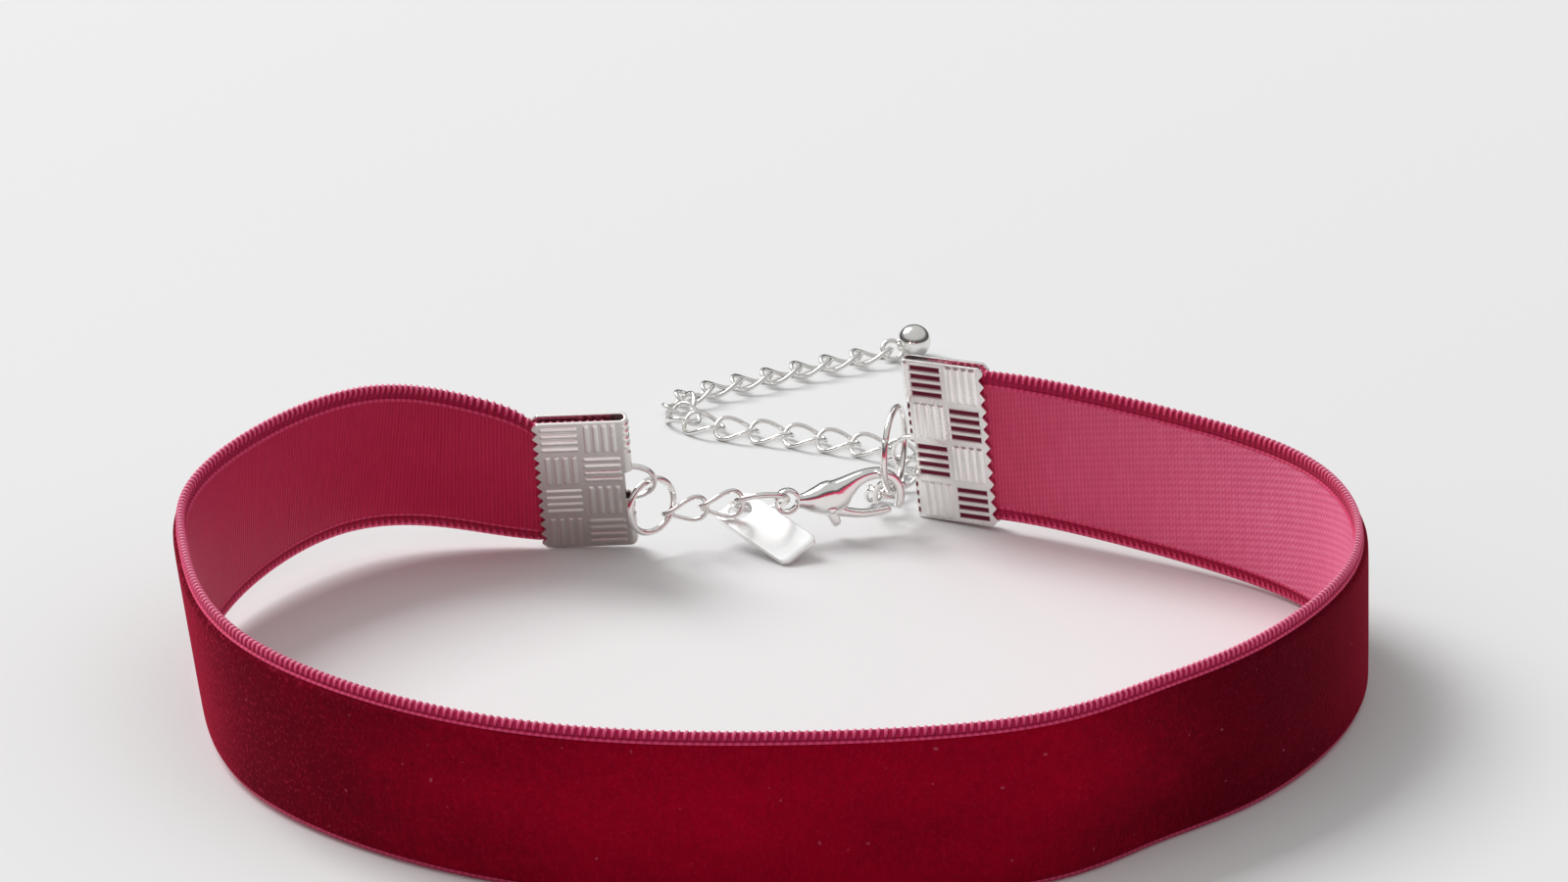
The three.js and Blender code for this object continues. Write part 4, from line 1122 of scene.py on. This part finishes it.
def limb(rows, steps, power=0.72, sides=28):
    """A solid limb: a rounded section, as wide and as thick as each row says, carried along its line.
    The first and last rings close up as a quarter ellipse would."""
    line = share_line(rows, steps)
    path = np.stack([line[:, 0], np.zeros(steps), line[:, 1]], -1)
    section = cushion_section(sides, power)
    size = np.stack([line[:, 3] / 2, line[:, 2] / 2], -1)
    length = np.concatenate([[0], np.cumsum(np.linalg.norm(np.diff(path, axis=0), axis=1))])
    ends = np.minimum(length, length[-1] - length)
    near_tip = 1 - np.clip(ends / (size.min(1) * LIMB_TIP_SHARE), 0, 1)
    round_off = np.sqrt(np.clip(1 - near_tip ** 2, LIMB_TIP_LEAST, 1))
    return sweep(path, ACROSS, section[None] * (size * round_off[:, None])[:, None])


HOOK_LINE = [
    [0.06, 0.0, 0.1, EYE_THICKNESS],
    [0.12, 0.0, 0.12, 1.25],
    [0.2, 0.004, 0.19, 1.95],
    [0.29, 0.018, 0.255, CLASP_BODY_THICKNESS],
    [0.38, 0.052, 0.25, CLASP_BODY_THICKNESS],
    [0.45, 0.112, 0.175, 1.95],
    [0.53, 0.175, 0.115, 1.55],
    [0.62, 0.215, 0.095, HOOK_THICKNESS],
    [0.71, 0.228, 0.082, HOOK_THICKNESS],
    [0.8, 0.203, 0.078, HOOK_THICKNESS],
    [0.862, 0.135, 0.076, HOOK_THICKNESS],
    [0.886, 0.045, 0.072, 1.25],
    [0.878, -0.02, 0.064, 1.15],
    [0.86, -0.052, 0.052, 1.0],
]
GATE_LINE = [
    [-0.03, 0.01, 0.1, LEVER_THICKNESS],
    [0.03, -0.01, 0.12, LEVER_THICKNESS],
    [0.12, -0.04, 0.08, LEVER_THICKNESS],
    [0.26, -0.055, 0.065, LEVER_THICKNESS],
    [0.4, -0.035, 0.06, LEVER_THICKNESS],
    [0.485, -0.012, 0.05, LEVER_THICKNESS],
]
TAB_LINE = [
    [-0.01, 0.03, 0.11, LEVER_THICKNESS],
    [0.015, -0.03, 0.115, LEVER_THICKNESS],
    [0.035, -0.08, 0.09, LEVER_THICKNESS],
    [0.075, -0.155, 0.075, LEVER_THICKNESS],
]


def clasp_eye():
    """A circle of the eye's middle radius that carries a rounded section."""
    angle = 2 * np.pi * np.arange(72) / 72
    radius = (EYE_HOLE + EYE_WALL) / 2
    section = cushion_section(20, 0.8) * [EYE_THICKNESS / 2, EYE_WALL / 2 + EYE_SWELL]
    return sweep(hoop(angle, radius, radius), ACROSS, section[None], closed=True)


def dome(centre, radius, height, side):
    """A low round head with a straight skirt: radius times sin and height times cos of the polar
    angle."""
    polar = np.linspace(0, np.pi / 2, 10)[1:]
    grid = turned(side * height * np.cos(polar), radius * np.sin(polar), 28, "y")
    back = grid[-1:] - [0, side * RIVET_HEAD["skirt"], 0]
    return centre + np.concatenate([grid, back])


def cut_slot(made):
    """Takes the lever's slot out of the clasp's body with a box."""
    slot = LEVER_THICKNESS / 2 + SLOT_CLEARANCE
    boss = LEVER_BOSS * CLASP_LENGTH
    start = PIVOT[0] - boss / 2 - SLOT_CLEARANCE
    roof = PIVOT[2] + boss / 2 + SLOT_CLEARANCE
    end, floor = CLASP_LENGTH * 0.6, -CLASP_LENGTH / 2
    box = [[x, y, z] for x in (start, end) for y in (-slot, slot) for z in (floor, roof)]
    faces = [(0, 1, 3, 2), (4, 6, 7, 5), (0, 4, 5, 1), (2, 3, 7, 6), (0, 2, 6, 4), (1, 5, 7, 3)]
    mesh = bpy.data.meshes.new("slot")
    mesh.from_pydata((clasp_place.at(box) * MM).tolist(), [], faces)
    cutter = bpy.data.objects.new("slot", mesh)
    bpy.context.scene.collection.objects.link(cutter)
    cut = made.modifiers.new("slot", "BOOLEAN")
    cut.operation, cut.solver, cut.object = "DIFFERENCE", "EXACT", cutter
    shaped = made.evaluated_get(bpy.context.evaluated_depsgraph_get())
    result = bpy.data.meshes.new_from_object(shaped)
    made.modifiers.clear()
    made.data = result
    bpy.data.objects.remove(cutter)
    bpy.data.meshes.remove(mesh)


def clasp_body():
    """The clasp's body and hook as one limb from the eye to the nose, its eye, slot and rivet heads."""
    body = Skin().add(clasp_place.at(limb(HOOK_LINE, 110)))
    made = body.piece("clasp_body_and_hook", [CLASP_SILVER], "choker", "silver_metal", "clasp_body")
    cut_slot(made)
    made.data.set_sharp_from_angle(angle=math.radians(50))
    ring = Skin().add(clasp_place.at(clasp_eye()), wrap_rows=True)
    ring.piece("clasp_eye", [CLASP_SILVER], "choker", "silver_metal", "clasp_body")
    heads = Skin()
    for side in (-1, 1):
        seat = PIVOT + np.array([0, side * (CLASP_BODY_THICKNESS / 2 - RIVET_HEAD["sink"]), 0])
        head = dome(seat, RIVET_DIAMETER * RIVET_HEAD["share"], RIVET_HEAD["rise"], side)
        heads.add(clasp_place.at(head))
    pin = np.array([[PIVOT[0], y, PIVOT[2]] for y in np.linspace(-1, 1, 8)])
    heads.add(clasp_place.at(sweep(pin, np.array([1.0, 0, 0]), circle(20, RIVET_DIAMETER / 2)[None])))
    heads.piece("clasp_rivet", [CLASP_SILVER], "choker", "silver_metal", "clasp_body")


def clasp_lever():
    """The sprung lever: its gate to the nose, its thumb tab and the round boss on the rivet, a disc
    whose radius shrinks by the eighth power of the height towards both faces."""
    skin = Skin()
    skin.add(lever_place.at(limb(GATE_LINE, 60, 0.6)))
    skin.add(lever_place.at(limb(TAB_LINE, 40, 0.6)))
    boss = np.linspace(-1, 1, 9)
    radius = LEVER_BOSS / 2 * CLASP_LENGTH * np.sqrt(np.clip(1 - np.abs(boss) ** 8 * 0.6, 0, 1))
    skin.add(lever_place.at(turned(boss * LEVER_THICKNESS / 2, radius, 36, "y")))
    skin.piece("lever_gate_and_tab", [CLASP_SILVER], "lever", "silver_metal", "clasp_lever")


clasp_body()
clasp_lever()


# Table and light

def stage_plane(name, size, finish):
    """A level square round the origin, its size in metres."""
    mesh = bpy.data.meshes.new(name)
    corner = size / 2
    mesh.from_pydata([(-corner, -corner, 0), (corner, -corner, 0), (corner, corner, 0),
                      (-corner, corner, 0)], [], [(0, 1, 2, 3)])
    mesh.materials.append(finish.material)
    made = bpy.data.objects.new(name, mesh)
    bpy.context.scene.collection.objects.link(made)
    return made


def soft_light(name, place, target, size, watts):
    """A square lamp at a place, turned to a target, both in metres."""
    lamp = bpy.data.lights.new(name, "AREA")
    lamp.shape = "SQUARE"
    lamp.size = size
    lamp.energy = watts
    made = bpy.data.objects.new(name, lamp)
    made.location = place
    made.rotation_euler = (Vector(target) - Vector(place)).to_track_quat("-Z", "Y").to_euler()
    bpy.context.scene.collection.objects.link(made)
    return made


stage_plane("table", size=6.0, finish=table_finish())
soft_light("window_light", place=(-1.65, 1.5, 2.3), target=(0, 0.02, 0), size=1.7, watts=78)


class Sky(Finish):
    """The light all round, made with the same nodes as a finish."""

    def __init__(self, name):
        self.world = bpy.data.worlds.new(name)
        self.world.use_nodes = True
        self.nodes = self.world.node_tree.nodes
        self.links = self.world.node_tree.links
        self.shader = self.nodes["Background"]


def studio_sky():
    """A pale ceiling over dim walls, so that bright metal shows dark bands."""
    sky = Sky("studio")
    direction = sky.node("ShaderNodeTexCoord", output="Generated")
    height = sky.parts(direction)[2]
    ramp = sky.shades(height, [
        (0.0, (0.1, 0.1, 0.1)),
        (0.3, (0.16, 0.16, 0.16)),
        (0.5, (1.0, 1.0, 1.0)),
    ])
    sky.set(color=ramp, strength=0.6)
    return sky.world


bpy.context.scene.world = studio_sky()
bpy.context.scene.view_settings.view_transform = "Standard"
bpy.context.scene.view_settings.look = "None"
